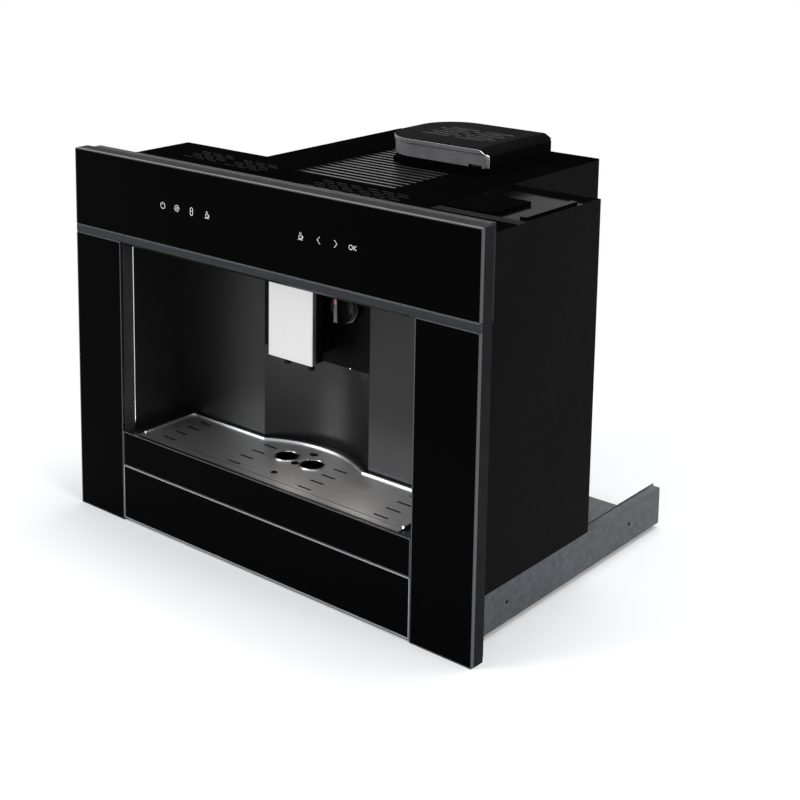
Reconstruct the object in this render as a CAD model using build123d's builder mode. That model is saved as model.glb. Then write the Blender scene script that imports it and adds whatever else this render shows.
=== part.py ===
"""Built-in coffee machine for a kitchen niche, with a black glass front and pull-out runners.

The frame stands on z = 0 with its origin under the middle of the machine. The front looks along -Y and
+X is to the right of someone who faces it. Depths are counted from the front face, backwards.
"""
import os
from math import atan2, degrees, sqrt

from build123d import *

os.makedirs("parts", exist_ok=True)

# ---------------------------------------------------------------- driving sizes, in millimetres
PANEL_W = 595.0  # whole front
PANEL_H = 455.0
DEPTH = 440.0  # front face to the heads of the rear screws
RUN_GAP = 0.4  # running clearance of a sliding piece
SHEET = 1.2  # sheet-metal covers
WALL = 2.5  # moulded walls

# front panel
GLASS_BACK = 4.0  # depth of the back face of the glass
GLASS_INSET = 0.3  # glass behind its metal edge
EDGE_W = 1.2  # metal edge round each glass
FRAME_DEPTH = 20.0  # side wall of the front frame
BAY_TOP = PANEL_H - 104.0  # underside of the lintel
BAR_H = 9.0  # satin bar under the control glass
BAR_LIP = 5.0  # bar folded down into the bay opening
OPENING_HALF = PANEL_W / 2 - 78.5  # half the opening between the two columns
BOX_BACK = 34.0  # depth of the back of the control box
BOX_HALF = PANEL_W / 2 - 7.5
SEAT_W = 17.0  # raised seat on the back of each side, for the cabinet's edge
SEAT_T = 0.6

# cup bay
BAY_HALF = OPENING_HALF - 1.0
BAY_BACK = 103.0
NICHE_HALF = 80.0  # half chord of the curved niche
NICHE_BOW = 35.0  # how far the niche bows back
BLOCK_BOTTOM = BAY_TOP - 120.0  # underside of the brew head
TRAY_SHELF = 72.5  # top of the shelf under the drip tray

# drip tray and grounds drawer
TRAY_TOP = 114.6
TRAY_BOTTOM = 71.7
DRAWER_BOTTOM = 3.6
DRAWER_GAP = 0.3  # between the two fronts
FRONT_GAP = 0.6  # between a moving front and the column beside it
DRAWER_HALF = OPENING_HALF - 5.0
DRAWER_BACK = 168.0
DRAWER_TOP = 60.0
GRILLE_HALF = BAY_HALF - 20.0
GRILLE_BACK = 100.0
GRILLE_BOW_HALF = 76.0
GRILLE_BOW = 23.0
GRILLE_T = 1.4
RIM_W = 3.0  # raised polished rim of the grille
RIM_H = 1.8
CUP_HOLE_R = 13.5
CUP_HOLE_X = 19.5
CUP_HOLE_D = 76.0
FLOAT_D = 32.0  # depth of the float
FLOAT_R = 12.0
STEM_R = 3.0
FLOAT_RISE = 8.0
FLOAT_ROOM = 2.2  # left over the stem when the float is at its highest

# spout
SPOUT_HALF = 33.5
SPOUT_FRONT = 58.0
SPOUT_BOTTOM = BLOCK_BOTTOM + 9.0
SPOUT_TOP = BAY_TOP - 24.0
SPOUT_BODY_BACK = 80.0
OUTLET_X = 18.0
OUTLET_D = 75.0
OUTLET_TIP = SPOUT_BOTTOM - 11.0
GUIDE_HALF = 9.0  # head of the T-shaped guide
GUIDE_STEM = 4.0
GUIDE_HEAD_T = 3.0

# hot-water knob
KNOB_X = 48.0
KNOB_Z = BAY_TOP - 47.5
KNOB_R = 17.5
KNOB_RING_W = 1.2
KNOB_FRONT = 80.0
KNOB_DISC = 92.0
SHAFT_R = 3.0
SHAFT_FIT = 0.05  # running fit of a shaft, on the radius

# casing
COVER_TOP = PANEL_H - 15.0
WING_HALF = PANEL_W / 2 - 19.5
LEFT_WING_BACK = 172.0
RIGHT_WING_BACK = 88.0  # right wing, as far back as the top cover reaches
RIGHT_STEP_BACK = 108.0  # right wing, up to the well of the water tank
TOP_T = 1.4  # sheet of the top cover
RIGHT_STEP_Z = COVER_TOP - TOP_T
DOCK_BACK = DEPTH - 188.0  # box that carries the water tank
DOCK_TOP = 248.0
CORE_LEFT = -140.0
CORE_RIGHT = 166.0
FOOT_H = 6.0
BASE_T = 1.5
BASE_HALF = WING_HALF - 16.0
BASE_BACK = DEPTH - 8.0
FLANGE_TOP = 50.0  # upright edges of the base plate
WING_FLOOR = 54.0

# bean hopper and grinder
HOPPER_X = 58.0
HOPPER_D = DEPTH - 113.5
LID_LEFT = -33.0
LID_RIGHT = 126.0
LID_FRONT = DEPTH - 183.0
LID_BACK = DEPTH - 44.0
LID_SWEEP = 50.0  # radius of the lid's two left corners
COLLAR_TOP = COVER_TOP + 8.0
LID_TOP = COVER_TOP + 31.0
HOPPER_W = 100.0
HOPPER_L = 112.0
HOPPER_FLOOR = COVER_TOP - 94.0
NECK_R = 34.0
GRINDER_R = 46.0
GRINDER_TOP = HOPPER_FLOOR - 4.0
GRINDER_BOTTOM = GRINDER_TOP - 78.0
SHELF_TOP = GRINDER_BOTTOM - 3.5

# recess with ribs in the top cover
RECESS_LEFT = -65.0
RECESS_RIGHT = 85.0
RECESS_FRONT = 130.0
RECESS_BACK = DEPTH - 110.0
RECESS_FLOOR = COVER_TOP - 7.5
RIB_PITCH = 12.5

# water tank
TANK_GAP = 2.0  # room round the tank
TANK_TOP = COVER_TOP - 6.0
TANK_LID_T = 4.0
TANK_GRIP = 12.0  # from the tank's right side to its grip
TANK_GRIP_W = 8.0
LID_TO_GRIP = 26.8
TANK_LID_L = 74.0
TANK_LID_FRONT = 118.0
TANK_OUTLET = (200.0, 195.0)

# pull-out runners
RUNNER_H = 45.0
RUNNER_W = 12.7
RUNNER_T = 1.5
RUNNER_FRONT = 24.0
RUNNER_LENGTH = DEPTH - 40.0
RUNNER_HOLE_R = 2.25
RUNNER_HOLE_SPAN = 256.0

# ---------------------------------------------------------------- sizes that follow
BASE_TOP = FOOT_H + BASE_T
BLOCK_TOP = BAY_TOP
NICHE_R = (NICHE_HALF**2 + NICHE_BOW**2) / (2 * NICHE_BOW)
NICHE_CENTRE = BAY_BACK + NICHE_BOW - NICHE_R
GRILLE_R = (GRILLE_BOW_HALF**2 + GRILLE_BOW**2) / (2 * GRILLE_BOW)
GRILLE_CENTRE = GRILLE_BACK + GRILLE_BOW - GRILLE_R
REAR_FACE = DEPTH - 1.5  # outside of the rear cover
RUNNER_Z = FOOT_H + RUNNER_H / 2
TANK_LEFT = CORE_RIGHT + TANK_GAP
TANK_RIGHT = WING_HALF - SHEET - TANK_GAP
TANK_FRONT = RIGHT_STEP_BACK + TANK_GAP / 2
TANK_BACK = DOCK_BACK - TANK_GAP - SHEET


def back(depth):
    """Y of a point that lies this far behind the front face."""
    return depth - DEPTH / 2


def level(z):
    """Plane for a plan at this height."""
    return Plane.XY.offset(z)


def facing(depth):
    """Upright plane at this depth, read from the front: an extrusion comes towards the viewer."""
    return Plane.XZ.offset(-back(depth))


def slab(x, d, z, mode=Mode.ADD, radius=0.0):
    """Block between two x, two depths and two heights, with rounded upright edges if asked."""
    width = x[1] - x[0]
    length = d[1] - d[0]
    with BuildSketch(level(z[0])) as plan:
        with Locations(((x[0] + x[1]) / 2, back((d[0] + d[1]) / 2))):
            if radius:
                RectangleRounded(width, length, radius)
            else:
                Rectangle(width, length)
    extrude(plan.sketch, amount=z[1] - z[0], mode=mode)


def post(x, depth, z, radius, mode=Mode.ADD, sides=0):
    """Upright post or hole between two heights, round or with flat sides."""
    with BuildSketch(level(z[0])) as plan:
        with Locations((x, back(depth))):
            if sides:
                RegularPolygon(radius, sides)
            else:
                Circle(radius)
    extrude(plan.sketch, amount=z[1] - z[0], mode=mode)


def stud(x, z, d, radius, mode=Mode.ADD, sides=0):
    """Stud or hole that lies front to back between two depths, round or with flat sides."""
    with BuildSketch(facing(d[1])) as view:
        with Locations((x, z)):
            if sides:
                RegularPolygon(radius, sides)
            else:
                Circle(radius)
    extrude(view.sketch, amount=d[1] - d[0], mode=mode)


def edge_ring(x, z, radius=1.5):
    """Metal edge round a glass that fills these limits of x and z."""
    width = x[1] - x[0]
    height = z[1] - z[0]
    with BuildSketch(facing(GLASS_BACK)) as view:
        with Locations(((x[0] + x[1]) / 2, (z[0] + z[1]) / 2)):
            RectangleRounded(width, height, radius)
            Rectangle(width - 2 * EDGE_W, height - 2 * EDGE_W, mode=Mode.SUBTRACT)
    extrude(view.sketch, amount=GLASS_BACK)


def glass_plate(x, z):
    """Glass that lies inside the metal edge of these limits."""
    width = x[1] - x[0] - 2 * EDGE_W
    height = z[1] - z[0] - 2 * EDGE_W
    with BuildSketch(facing(GLASS_BACK)) as view:
        with Locations(((x[0] + x[1]) / 2, (z[0] + z[1]) / 2)):
            Rectangle(width, height)
    extrude(view.sketch, amount=GLASS_BACK - GLASS_INSET)


def bowed_plan(z, front, side, rear, radius, centre, half_bow):
    """Plan with straight sides whose back edge bows out in the middle."""
    with BuildSketch(level(z)) as plan:
        with BuildLine():
            Line((-side, back(front)), (-side, back(rear)))
            Line((-side, back(rear)), (-half_bow, back(rear)))
            ThreePointArc((-half_bow, back(rear)), (0, back(centre + radius)), (half_bow, back(rear)))
            Line((half_bow, back(rear)), (side, back(rear)))
            Line((side, back(rear)), (side, back(front)))
            Line((side, back(front)), (-side, back(front)))
        make_face()
    return plan.sketch


def bay_plan(z, front, grow=0.0):
    """Plan of the cup bay with its curved niche, grown outwards all round."""
    rear = BAY_BACK + grow
    radius = NICHE_R + grow
    half_bow = sqrt(radius**2 - (rear - NICHE_CENTRE) ** 2)
    return bowed_plan(z, front, BAY_HALF + grow, rear, radius, NICHE_CENTRE, half_bow)


def niche_plan(z):
    """Plan of the curved niche alone, behind the flat wall of the bay."""
    with BuildSketch(level(z)) as plan:
        with BuildLine():
            Line((-NICHE_HALF, back(BAY_BACK)), (NICHE_HALF, back(BAY_BACK)))
            ThreePointArc(
                (NICHE_HALF, back(BAY_BACK)),
                (0, back(BAY_BACK + NICHE_BOW)),
                (-NICHE_HALF, back(BAY_BACK)),
            )
        make_face()
    return plan.sketch


def grille_plan(z, front, grow=0.0):
    """Plan of the drip grille, grown outwards all round."""
    rear = GRILLE_BACK + grow
    radius = GRILLE_R + grow
    half_bow = sqrt(radius**2 - (rear - GRILLE_CENTRE) ** 2)
    return bowed_plan(z, front, GRILLE_HALF + grow, rear, radius, GRILLE_CENTRE, half_bow)


def casing_plan(z, front, grow=0.0):
    """Plan of the casing's top: a deep left wing, a shallow right one and the core between them."""
    with BuildSketch(level(z)) as plan:
        with BuildLine():
            Polyline(
                (-WING_HALF - grow, back(front)),
                (-WING_HALF - grow, back(LEFT_WING_BACK + grow)),
                (CORE_LEFT - grow, back(LEFT_WING_BACK + grow)),
                (CORE_LEFT - grow, back(REAR_FACE + grow)),
                (CORE_RIGHT + grow, back(REAR_FACE + grow)),
                (CORE_RIGHT + grow, back(RIGHT_WING_BACK + grow)),
                (WING_HALF + grow, back(RIGHT_WING_BACK + grow)),
                (WING_HALF + grow, back(front)),
                close=True,
            )
        make_face()
    return plan.sketch


def lid_plan(z, grow=0.0):
    """Plan of the bean lid: nearly square on the right, two wide corners on the left."""
    left = LID_LEFT - grow
    right = LID_RIGHT + grow
    with BuildSketch(level(z)) as plan:
        with Locations(((left + right) / 2, back((LID_FRONT + LID_BACK) / 2))):
            Rectangle(right - left, LID_BACK - LID_FRONT + 2 * grow)
        fillet(plan.vertices().group_by(Axis.X)[0], LID_SWEEP + grow)
        chamfer(plan.vertices().group_by(Axis.X)[-1], 4.0)
    return plan.sketch


# ---------------------------------------------------------------- front panel
COLUMN = (OPENING_HALF, PANEL_W / 2)
BOARD_HALF = 172.0
BOARD_Z = (PANEL_H - 67.0, PANEL_H - 27.0)

with BuildPart() as front_frame:
    with BuildSketch(facing(FRAME_DEPTH)):
        with Locations((0, PANEL_H / 2)):
            Rectangle(PANEL_W, PANEL_H)
        with Locations((0, BAY_TOP / 2)):
            Rectangle(2 * OPENING_HALF, BAY_TOP, mode=Mode.SUBTRACT)
    extrude(amount=FRAME_DEPTH - GLASS_BACK)
    with BuildSketch(facing(FRAME_DEPTH)):
        with Locations((0, (BAY_TOP + PANEL_H) / 2)):
            Rectangle(PANEL_W - 2 * WALL, PANEL_H - BAY_TOP - 2 * WALL)
    extrude(amount=FRAME_DEPTH - GLASS_BACK - WALL, mode=Mode.SUBTRACT)
    # window for the touch board, which lies on the back of the glass
    with BuildSketch(facing(GLASS_BACK + WALL)):
        with Locations((0, sum(BOARD_Z) / 2)):
            Rectangle(2 * BOARD_HALF + 4, BOARD_Z[1] - BOARD_Z[0] + 4)
    extrude(amount=WALL, mode=Mode.SUBTRACT)
    # raised seats behind the columns, which close on the cabinet's front edges
    for side in (-1, 1):
        slab(
            sorted((side * (PANEL_W / 2 - SEAT_W), side * PANEL_W / 2)),
            (FRAME_DEPTH, FRAME_DEPTH + SEAT_T),
            (2 * WALL, BAY_TOP - WALL),
        )
front_frame.part.label = "front_frame"
export_step(front_frame.part, "parts/front_frame.step")

FASCIA_Z = (BAY_TOP + BAR_H, PANEL_H)
with BuildPart() as fascia_trim:
    edge_ring((-PANEL_W / 2, PANEL_W / 2), FASCIA_Z)
fascia_trim.part.label = "fascia_trim"
export_step(fascia_trim.part, "parts/fascia_trim.step")

with BuildPart() as control_glass:
    glass_plate((-PANEL_W / 2, PANEL_W / 2), FASCIA_Z)
control_glass.part.label = "control_glass"
export_step(control_glass.part, "parts/control_glass.step")

with BuildPart() as column_trims:
    for side in (-1, 1):
        edge_ring(sorted((side * COLUMN[0], side * COLUMN[1])), (0, BAY_TOP))
column_trims.part.label = "column_trims"
export_step(column_trims.part, "parts/column_trims.step")

with BuildPart() as column_glass_left:
    glass_plate((-COLUMN[1], -COLUMN[0]), (0, BAY_TOP))
column_glass_left.part.label = "column_glass_left"
export_step(column_glass_left.part, "parts/column_glass_left.step")

with BuildPart() as column_glass_right:
    glass_plate(COLUMN, (0, BAY_TOP))
column_glass_right.part.label = "column_glass_right"
export_step(column_glass_right.part, "parts/column_glass_right.step")

# satin bar: a strip across the whole front with a lip folded into the bay opening
with BuildPart() as satin_bar:
    with BuildSketch(Plane.YZ.offset(-PANEL_W / 2)):
        with BuildLine():
            Polyline(
                (back(0), BAY_TOP),
                (back(0), BAY_TOP + BAR_H),
                (back(GLASS_BACK), BAY_TOP + BAR_H),
                (back(GLASS_BACK), BAY_TOP),
                close=True,
            )
        make_face()
    extrude(amount=PANEL_W)
    fillet(satin_bar.edges().filter_by(Axis.X).group_by(Axis.Y)[0], 0.8)
    with BuildSketch(Plane.YZ.offset(-OPENING_HALF + 0.2)):
        with BuildLine():
            Polyline(
                (back(2), BAY_TOP),
                (back(8), BAY_TOP - BAR_LIP),
                (back(FRAME_DEPTH - 2.5), BAY_TOP - BAR_LIP),
                (back(FRAME_DEPTH - 2.5), BAY_TOP),
                close=True,
            )
        make_face()
    extrude(amount=2 * OPENING_HALF - 0.4)
satin_bar.part.label = "satin_bar"
export_step(satin_bar.part, "parts/satin_bar.step")

with BuildPart() as control_box:
    slab((-BOX_HALF, BOX_HALF), (FRAME_DEPTH, BOX_BACK), (BAY_TOP + WALL, PANEL_H - 1))
    slab(
        (-BOX_HALF + 2, BOX_HALF - 2),
        (FRAME_DEPTH, BOX_BACK - 2),
        (BAY_TOP + WALL + 2, PANEL_H - 3),
        Mode.SUBTRACT,
    )
    # cable window in its back, below the top cover
    with BuildSketch(facing(BOX_BACK)):
        with Locations((-120, BAY_TOP + 40)):
            SlotOverall(60, 18)
    extrude(amount=2, mode=Mode.SUBTRACT)
control_box.part.label = "control_box"
export_step(control_box.part, "parts/control_box.step")

with BuildPart() as control_board:
    slab((-BOARD_HALF, BOARD_HALF), (GLASS_BACK, GLASS_BACK + 1.6), BOARD_Z)
    parts_row = ((-150, 18, 6), (-105, 26, 4), (-40, 34, 9), (20, 22, 4), (90, 14, 12), (140, 26, 5))
    for x_mid, width, rise in parts_row:
        slab(
            (x_mid - width / 2, x_mid + width / 2),
            (GLASS_BACK + 1.6, GLASS_BACK + 1.6 + rise),
            (BOARD_Z[0] + 8, BOARD_Z[1] - 10),
        )
control_board.part.label = "control_board"
export_step(control_board.part, "parts/control_board.step")

# ---------------------------------------------------------------- cup bay
VALVE_SEAT = BAY_BACK + NICHE_BOW - 2.0  # face of the boss behind the knob
GUIDE_WALL = BAY_HALF + WALL

with BuildPart() as bay_liner:
    extrude(bay_plan(TRAY_SHELF - 2, FRAME_DEPTH, WALL), amount=BAY_TOP + WALL - TRAY_SHELF + 2)
    extrude(bay_plan(TRAY_SHELF, FRAME_DEPTH), amount=BAY_TOP - TRAY_SHELF, mode=Mode.SUBTRACT)
    # side walls run down to the base plate and guide the grounds drawer
    for side in (-1, 1):
        slab(
            sorted((side * BAY_HALF, side * GUIDE_WALL)),
            (FRAME_DEPTH, LEFT_WING_BACK - SHEET),
            (BASE_TOP, TRAY_SHELF),
        )
    # boss that the hot-water valve sits on
    stud(KNOB_X, KNOB_Z, (BAY_BACK + 12, VALVE_SEAT), 13)
    extrude(niche_plan(BLOCK_BOTTOM), amount=BAY_TOP - BLOCK_BOTTOM, mode=Mode.SUBTRACT)
    stud(KNOB_X, KNOB_Z, (BAY_BACK, VALVE_SEAT), SHAFT_R + 1, Mode.SUBTRACT)
bay_liner.part.label = "bay_liner"
export_step(bay_liner.part, "parts/bay_liner.step")

# bright bead where the liner meets the frame, left, right and along the top
BEAD = 1.6
with BuildPart() as bay_bead:
    for side in (-1, 1):
        slab(
            sorted((side * (BAY_HALF - 1), side * OPENING_HALF)),
            (FRAME_DEPTH - BEAD, FRAME_DEPTH),
            (TRAY_TOP + 4, BAY_TOP),
        )
    slab((-OPENING_HALF, OPENING_HALF), (FRAME_DEPTH - BEAD, FRAME_DEPTH), (BAY_TOP - BEAD, BAY_TOP))
bay_bead.part.label = "bay_bead"
export_step(bay_bead.part, "parts/bay_bead.step")

# black brew head that fills the niche above the cups, flush with the wall
LAMP_X = 50.0
LAMP_D = 112.0
LAMP_R = 7.0
HEAD_HALF = NICHE_HALF - RUN_GAP
GUIDE_Z = (BLOCK_BOTTOM + 6, BAY_TOP - 2)
GUIDE_FRONT = BAY_BACK - 4 - GUIDE_HEAD_T
with BuildPart() as brew_head:
    with BuildSketch(level(BLOCK_BOTTOM)):
        with BuildLine():
            Line((-HEAD_HALF, back(BAY_BACK)), (HEAD_HALF, back(BAY_BACK)))
            ThreePointArc(
                (HEAD_HALF, back(BAY_BACK)),
                (0, back(BAY_BACK + NICHE_BOW - RUN_GAP)),
                (-HEAD_HALF, back(BAY_BACK)),
            )
        make_face()
    extrude(amount=BLOCK_TOP - BLOCK_BOTTOM)
    for x_lamp in (-LAMP_X, LAMP_X):
        post(x_lamp, LAMP_D, (BLOCK_BOTTOM, BLOCK_BOTTOM + 3), LAMP_R + 0.2, Mode.SUBTRACT, sides=24)
    stud(KNOB_X, KNOB_Z, (BAY_BACK, BAY_BACK + NICHE_BOW), SHAFT_R + SHAFT_FIT, Mode.SUBTRACT)
    # T-shaped rail that the spout runs on
    slab((-GUIDE_STEM, GUIDE_STEM), (BAY_BACK - 4, BAY_BACK), GUIDE_Z)
    slab((-GUIDE_HALF, GUIDE_HALF), (GUIDE_FRONT, BAY_BACK - 4), GUIDE_Z)
brew_head.part.label = "brew_head"
export_step(brew_head.part, "parts/brew_head.step")

with BuildPart() as lamp_lenses:
    for x_lamp in (-LAMP_X, LAMP_X):
        post(x_lamp, LAMP_D, (BLOCK_BOTTOM - 1, BLOCK_BOTTOM + 3), LAMP_R, sides=24)
lamp_lenses.part.label = "lamp_lenses"
export_step(lamp_lenses.part, "parts/lamp_lenses.step")

# ---------------------------------------------------------------- height-adjustable spout
COVER_T = 1.4
BODY_HALF = SPOUT_HALF - COVER_T - 0.1
BAR_HALF = OUTLET_X + 6
NECK_HALF = 22.0
with BuildPart() as spout_cover:
    slab(
        (-SPOUT_HALF, SPOUT_HALF),
        (SPOUT_FRONT, SPOUT_FRONT + 7),
        (SPOUT_BOTTOM, SPOUT_TOP),
    )
    fillet(spout_cover.edges().filter_by(Axis.Z).group_by(Axis.Y)[0], 2.2)
    slab(
        (-SPOUT_HALF + COVER_T, SPOUT_HALF - COVER_T),
        (SPOUT_FRONT + COVER_T, SPOUT_FRONT + 7),
        (SPOUT_BOTTOM, SPOUT_TOP - COVER_T),
        Mode.SUBTRACT,
    )
spout_cover.part.label = "spout_cover"
export_step(spout_cover.part, "parts/spout_cover.step")

OUTLET_BAR = (OUTLET_D - 4.5, OUTLET_D + 4.5)
BAR_TOP = SPOUT_BOTTOM + 7
with BuildPart() as spout_body:
    slab(
        (-BODY_HALF, BODY_HALF),
        (SPOUT_FRONT + COVER_T + 0.1, SPOUT_BODY_BACK),
        (SPOUT_BOTTOM + 1, SPOUT_TOP - COVER_T - 0.1),
        radius=1.5,
    )
    slab(
        (-NECK_HALF, NECK_HALF),
        (SPOUT_BODY_BACK - 3, BAY_BACK - RUN_GAP),
        (SPOUT_BOTTOM + 6, SPOUT_TOP - 6),
    )
    # T-shaped slot that runs on the guide
    slab(
        (-GUIDE_HALF - RUN_GAP, GUIDE_HALF + RUN_GAP),
        (GUIDE_FRONT - RUN_GAP, BAY_BACK - 4 + RUN_GAP),
        (SPOUT_BOTTOM, SPOUT_TOP),
        Mode.SUBTRACT,
    )
    slab(
        (-GUIDE_STEM - RUN_GAP, GUIDE_STEM + RUN_GAP),
        (BAY_BACK - 4, BAY_BACK),
        (SPOUT_BOTTOM, SPOUT_TOP),
        Mode.SUBTRACT,
    )
    # seat of the outlet bar, and the channel down to it
    slab(
        (-BAR_HALF - 0.2, BAR_HALF + 0.2),
        (OUTLET_BAR[0] - 0.2, OUTLET_BAR[1] + 0.2),
        (SPOUT_BOTTOM, BAR_TOP),
        Mode.SUBTRACT,
    )
    post(0, OUTLET_D, (BAR_TOP, SPOUT_TOP), 3, Mode.SUBTRACT, sides=8)
spout_body.part.label = "spout_body"
export_step(spout_body.part, "parts/spout_body.step")

with BuildPart() as spout_outlets:
    slab((-BAR_HALF, BAR_HALF), OUTLET_BAR, (SPOUT_BOTTOM + 1, BAR_TOP))
    for x_out in (-OUTLET_X, OUTLET_X):
        post(x_out, OUTLET_D, (OUTLET_TIP, SPOUT_BOTTOM + 1), 3.8, sides=16)
        post(x_out, OUTLET_D, (OUTLET_TIP + 4, SPOUT_BOTTOM + 1), 4.5, sides=16)
        post(x_out, OUTLET_D, (OUTLET_TIP, BAR_TOP - 2), 2.0, Mode.SUBTRACT, sides=12)
    slab((-OUTLET_X, OUTLET_X), (OUTLET_D - 1.8, OUTLET_D + 1.8), (BAR_TOP - 4, BAR_TOP - 1.5), Mode.SUBTRACT)
    post(0, OUTLET_D, (BAR_TOP - 3, BAR_TOP), 2.5, Mode.SUBTRACT, sides=8)
spout_outlets.part.label = "spout_outlets"
export_step(spout_outlets.part, "parts/spout_outlets.step")

# ---------------------------------------------------------------- hot-water knob and its valve
KNOB_BACK = BAY_BACK - RUN_GAP
VALVE_BACK = VALVE_SEAT + 30
with BuildPart() as knob:
    stud(KNOB_X, KNOB_Z, (KNOB_DISC, KNOB_BACK), KNOB_R, sides=32)
    chamfer(knob.faces().sort_by(Axis.Y)[0].edges(), 2)
    # upright grip bar, wider at its foot than at its top
    with BuildSketch(facing(KNOB_DISC + 1)) as grip:
        with BuildLine():
            Polyline(
                (KNOB_X - 5, KNOB_Z - KNOB_R + 2),
                (KNOB_X + 5, KNOB_Z - KNOB_R + 2),
                (KNOB_X + 3, KNOB_Z + KNOB_R - 1.5),
                (KNOB_X - 3, KNOB_Z + KNOB_R - 1.5),
                close=True,
            )
        make_face()
    extrude(grip.sketch, amount=KNOB_DISC + 1 - KNOB_FRONT)
    stud(KNOB_X, KNOB_Z, (KNOB_DISC + 2, KNOB_BACK), SHAFT_R + SHAFT_FIT, Mode.SUBTRACT)
knob.part.label = "knob"
export_step(knob.part, "parts/knob.step")

with BuildPart() as knob_ring:
    stud(KNOB_X, KNOB_Z, (KNOB_DISC + 3, KNOB_BACK), KNOB_R + KNOB_RING_W, sides=32)
    stud(KNOB_X, KNOB_Z, (KNOB_DISC + 3, KNOB_BACK), KNOB_R + 0.05, Mode.SUBTRACT, sides=32)
knob_ring.part.label = "knob_ring"
export_step(knob_ring.part, "parts/knob_ring.step")

with BuildPart() as knob_shaft:
    stud(KNOB_X, KNOB_Z, (KNOB_DISC + 2, VALVE_SEAT + 18), SHAFT_R)
knob_shaft.part.label = "knob_shaft"
export_step(knob_shaft.part, "parts/knob_shaft.step")

with BuildPart() as hot_water_valve:
    stud(KNOB_X, KNOB_Z, (VALVE_SEAT, VALVE_SEAT + 4), 13, sides=12)
    with BuildSketch(facing(VALVE_BACK)) as hexagon:
        with Locations((KNOB_X, KNOB_Z)):
            RegularPolygon(11, 6)
    extrude(hexagon.sketch, amount=VALVE_BACK - VALVE_SEAT - 4)
    post(KNOB_X, VALVE_BACK - 9, (KNOB_Z - 24, KNOB_Z), 5, sides=8)
    post(KNOB_X, VALVE_BACK - 9, (KNOB_Z, KNOB_Z + 20), 4, sides=8)
    stud(KNOB_X, KNOB_Z, (VALVE_SEAT, VALVE_SEAT + 19), SHAFT_R + SHAFT_FIT, Mode.SUBTRACT)
hot_water_valve.part.label = "hot_water_valve"
export_step(hot_water_valve.part, "parts/hot_water_valve.step")

# ---------------------------------------------------------------- drip tray
TUB_BOTTOM = TRAY_SHELF + RUN_GAP
TUB_FLOOR = TUB_BOTTOM + WALL
GRILLE_TOP = TRAY_TOP - 0.2
GRILLE_UNDER = GRILLE_TOP - GRILLE_T
LEDGE = GRILLE_UNDER - 2.4  # the grille's skirt stands on this ledge
TUB_TOP = TRAY_TOP - 2.2
TUB_SIDE_GAP = 1.2
FRONT_HALF = OPENING_HALF - FRONT_GAP
GRILLE_FRONT = GLASS_BACK + 1.5

with BuildPart() as drip_tray:
    extrude(bay_plan(TUB_BOTTOM, GLASS_BACK, -TUB_SIDE_GAP), amount=TUB_TOP - TUB_BOTTOM)
    extrude(grille_plan(LEDGE, GRILLE_FRONT - 0.3, 0.3), amount=TUB_TOP - LEDGE, mode=Mode.SUBTRACT)
    extrude(grille_plan(TUB_FLOOR, GLASS_BACK + 4, -3), amount=TUB_TOP - TUB_FLOOR, mode=Mode.SUBTRACT)
    # the broad side margins are hollow below
    for side in (-1, 1):
        slab(
            sorted((side * (GRILLE_HALF + 1), side * (BAY_HALF - TUB_SIDE_GAP - 2))),
            (GLASS_BACK + 8, BAY_BACK - 10),
            (TUB_BOTTOM, LEDGE - 2),
            Mode.SUBTRACT,
        )
    # cage that keeps the float upright
    cage = FLOAT_R + RUN_GAP
    slab((-cage - 2, cage + 2), (FLOAT_D - cage - 2, FLOAT_D + cage + 2), (TUB_FLOOR, TUB_FLOOR + 9))
    slab((-cage, cage), (FLOAT_D - cage, FLOAT_D + cage), (TUB_FLOOR, TUB_FLOOR + 9), Mode.SUBTRACT)
    slab((-3, 3), (FLOAT_D - FLOAT_R - 4, FLOAT_D + FLOAT_R + 4), (TUB_FLOOR, TUB_FLOOR + 9), Mode.SUBTRACT)
drip_tray.part.label = "drip_tray"
export_step(drip_tray.part, "parts/drip_tray.step")

TRAY_FRONT_Z = (TRAY_BOTTOM, TRAY_TOP)
with BuildPart() as tray_front_trim:
    edge_ring((-FRONT_HALF, FRONT_HALF), TRAY_FRONT_Z)
tray_front_trim.part.label = "tray_front_trim"
export_step(tray_front_trim.part, "parts/tray_front_trim.step")

with BuildPart() as tray_front_glass:
    glass_plate((-FRONT_HALF, FRONT_HALF), TRAY_FRONT_Z)
tray_front_glass.part.label = "tray_front_glass"
export_step(tray_front_glass.part, "parts/tray_front_glass.step")

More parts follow.
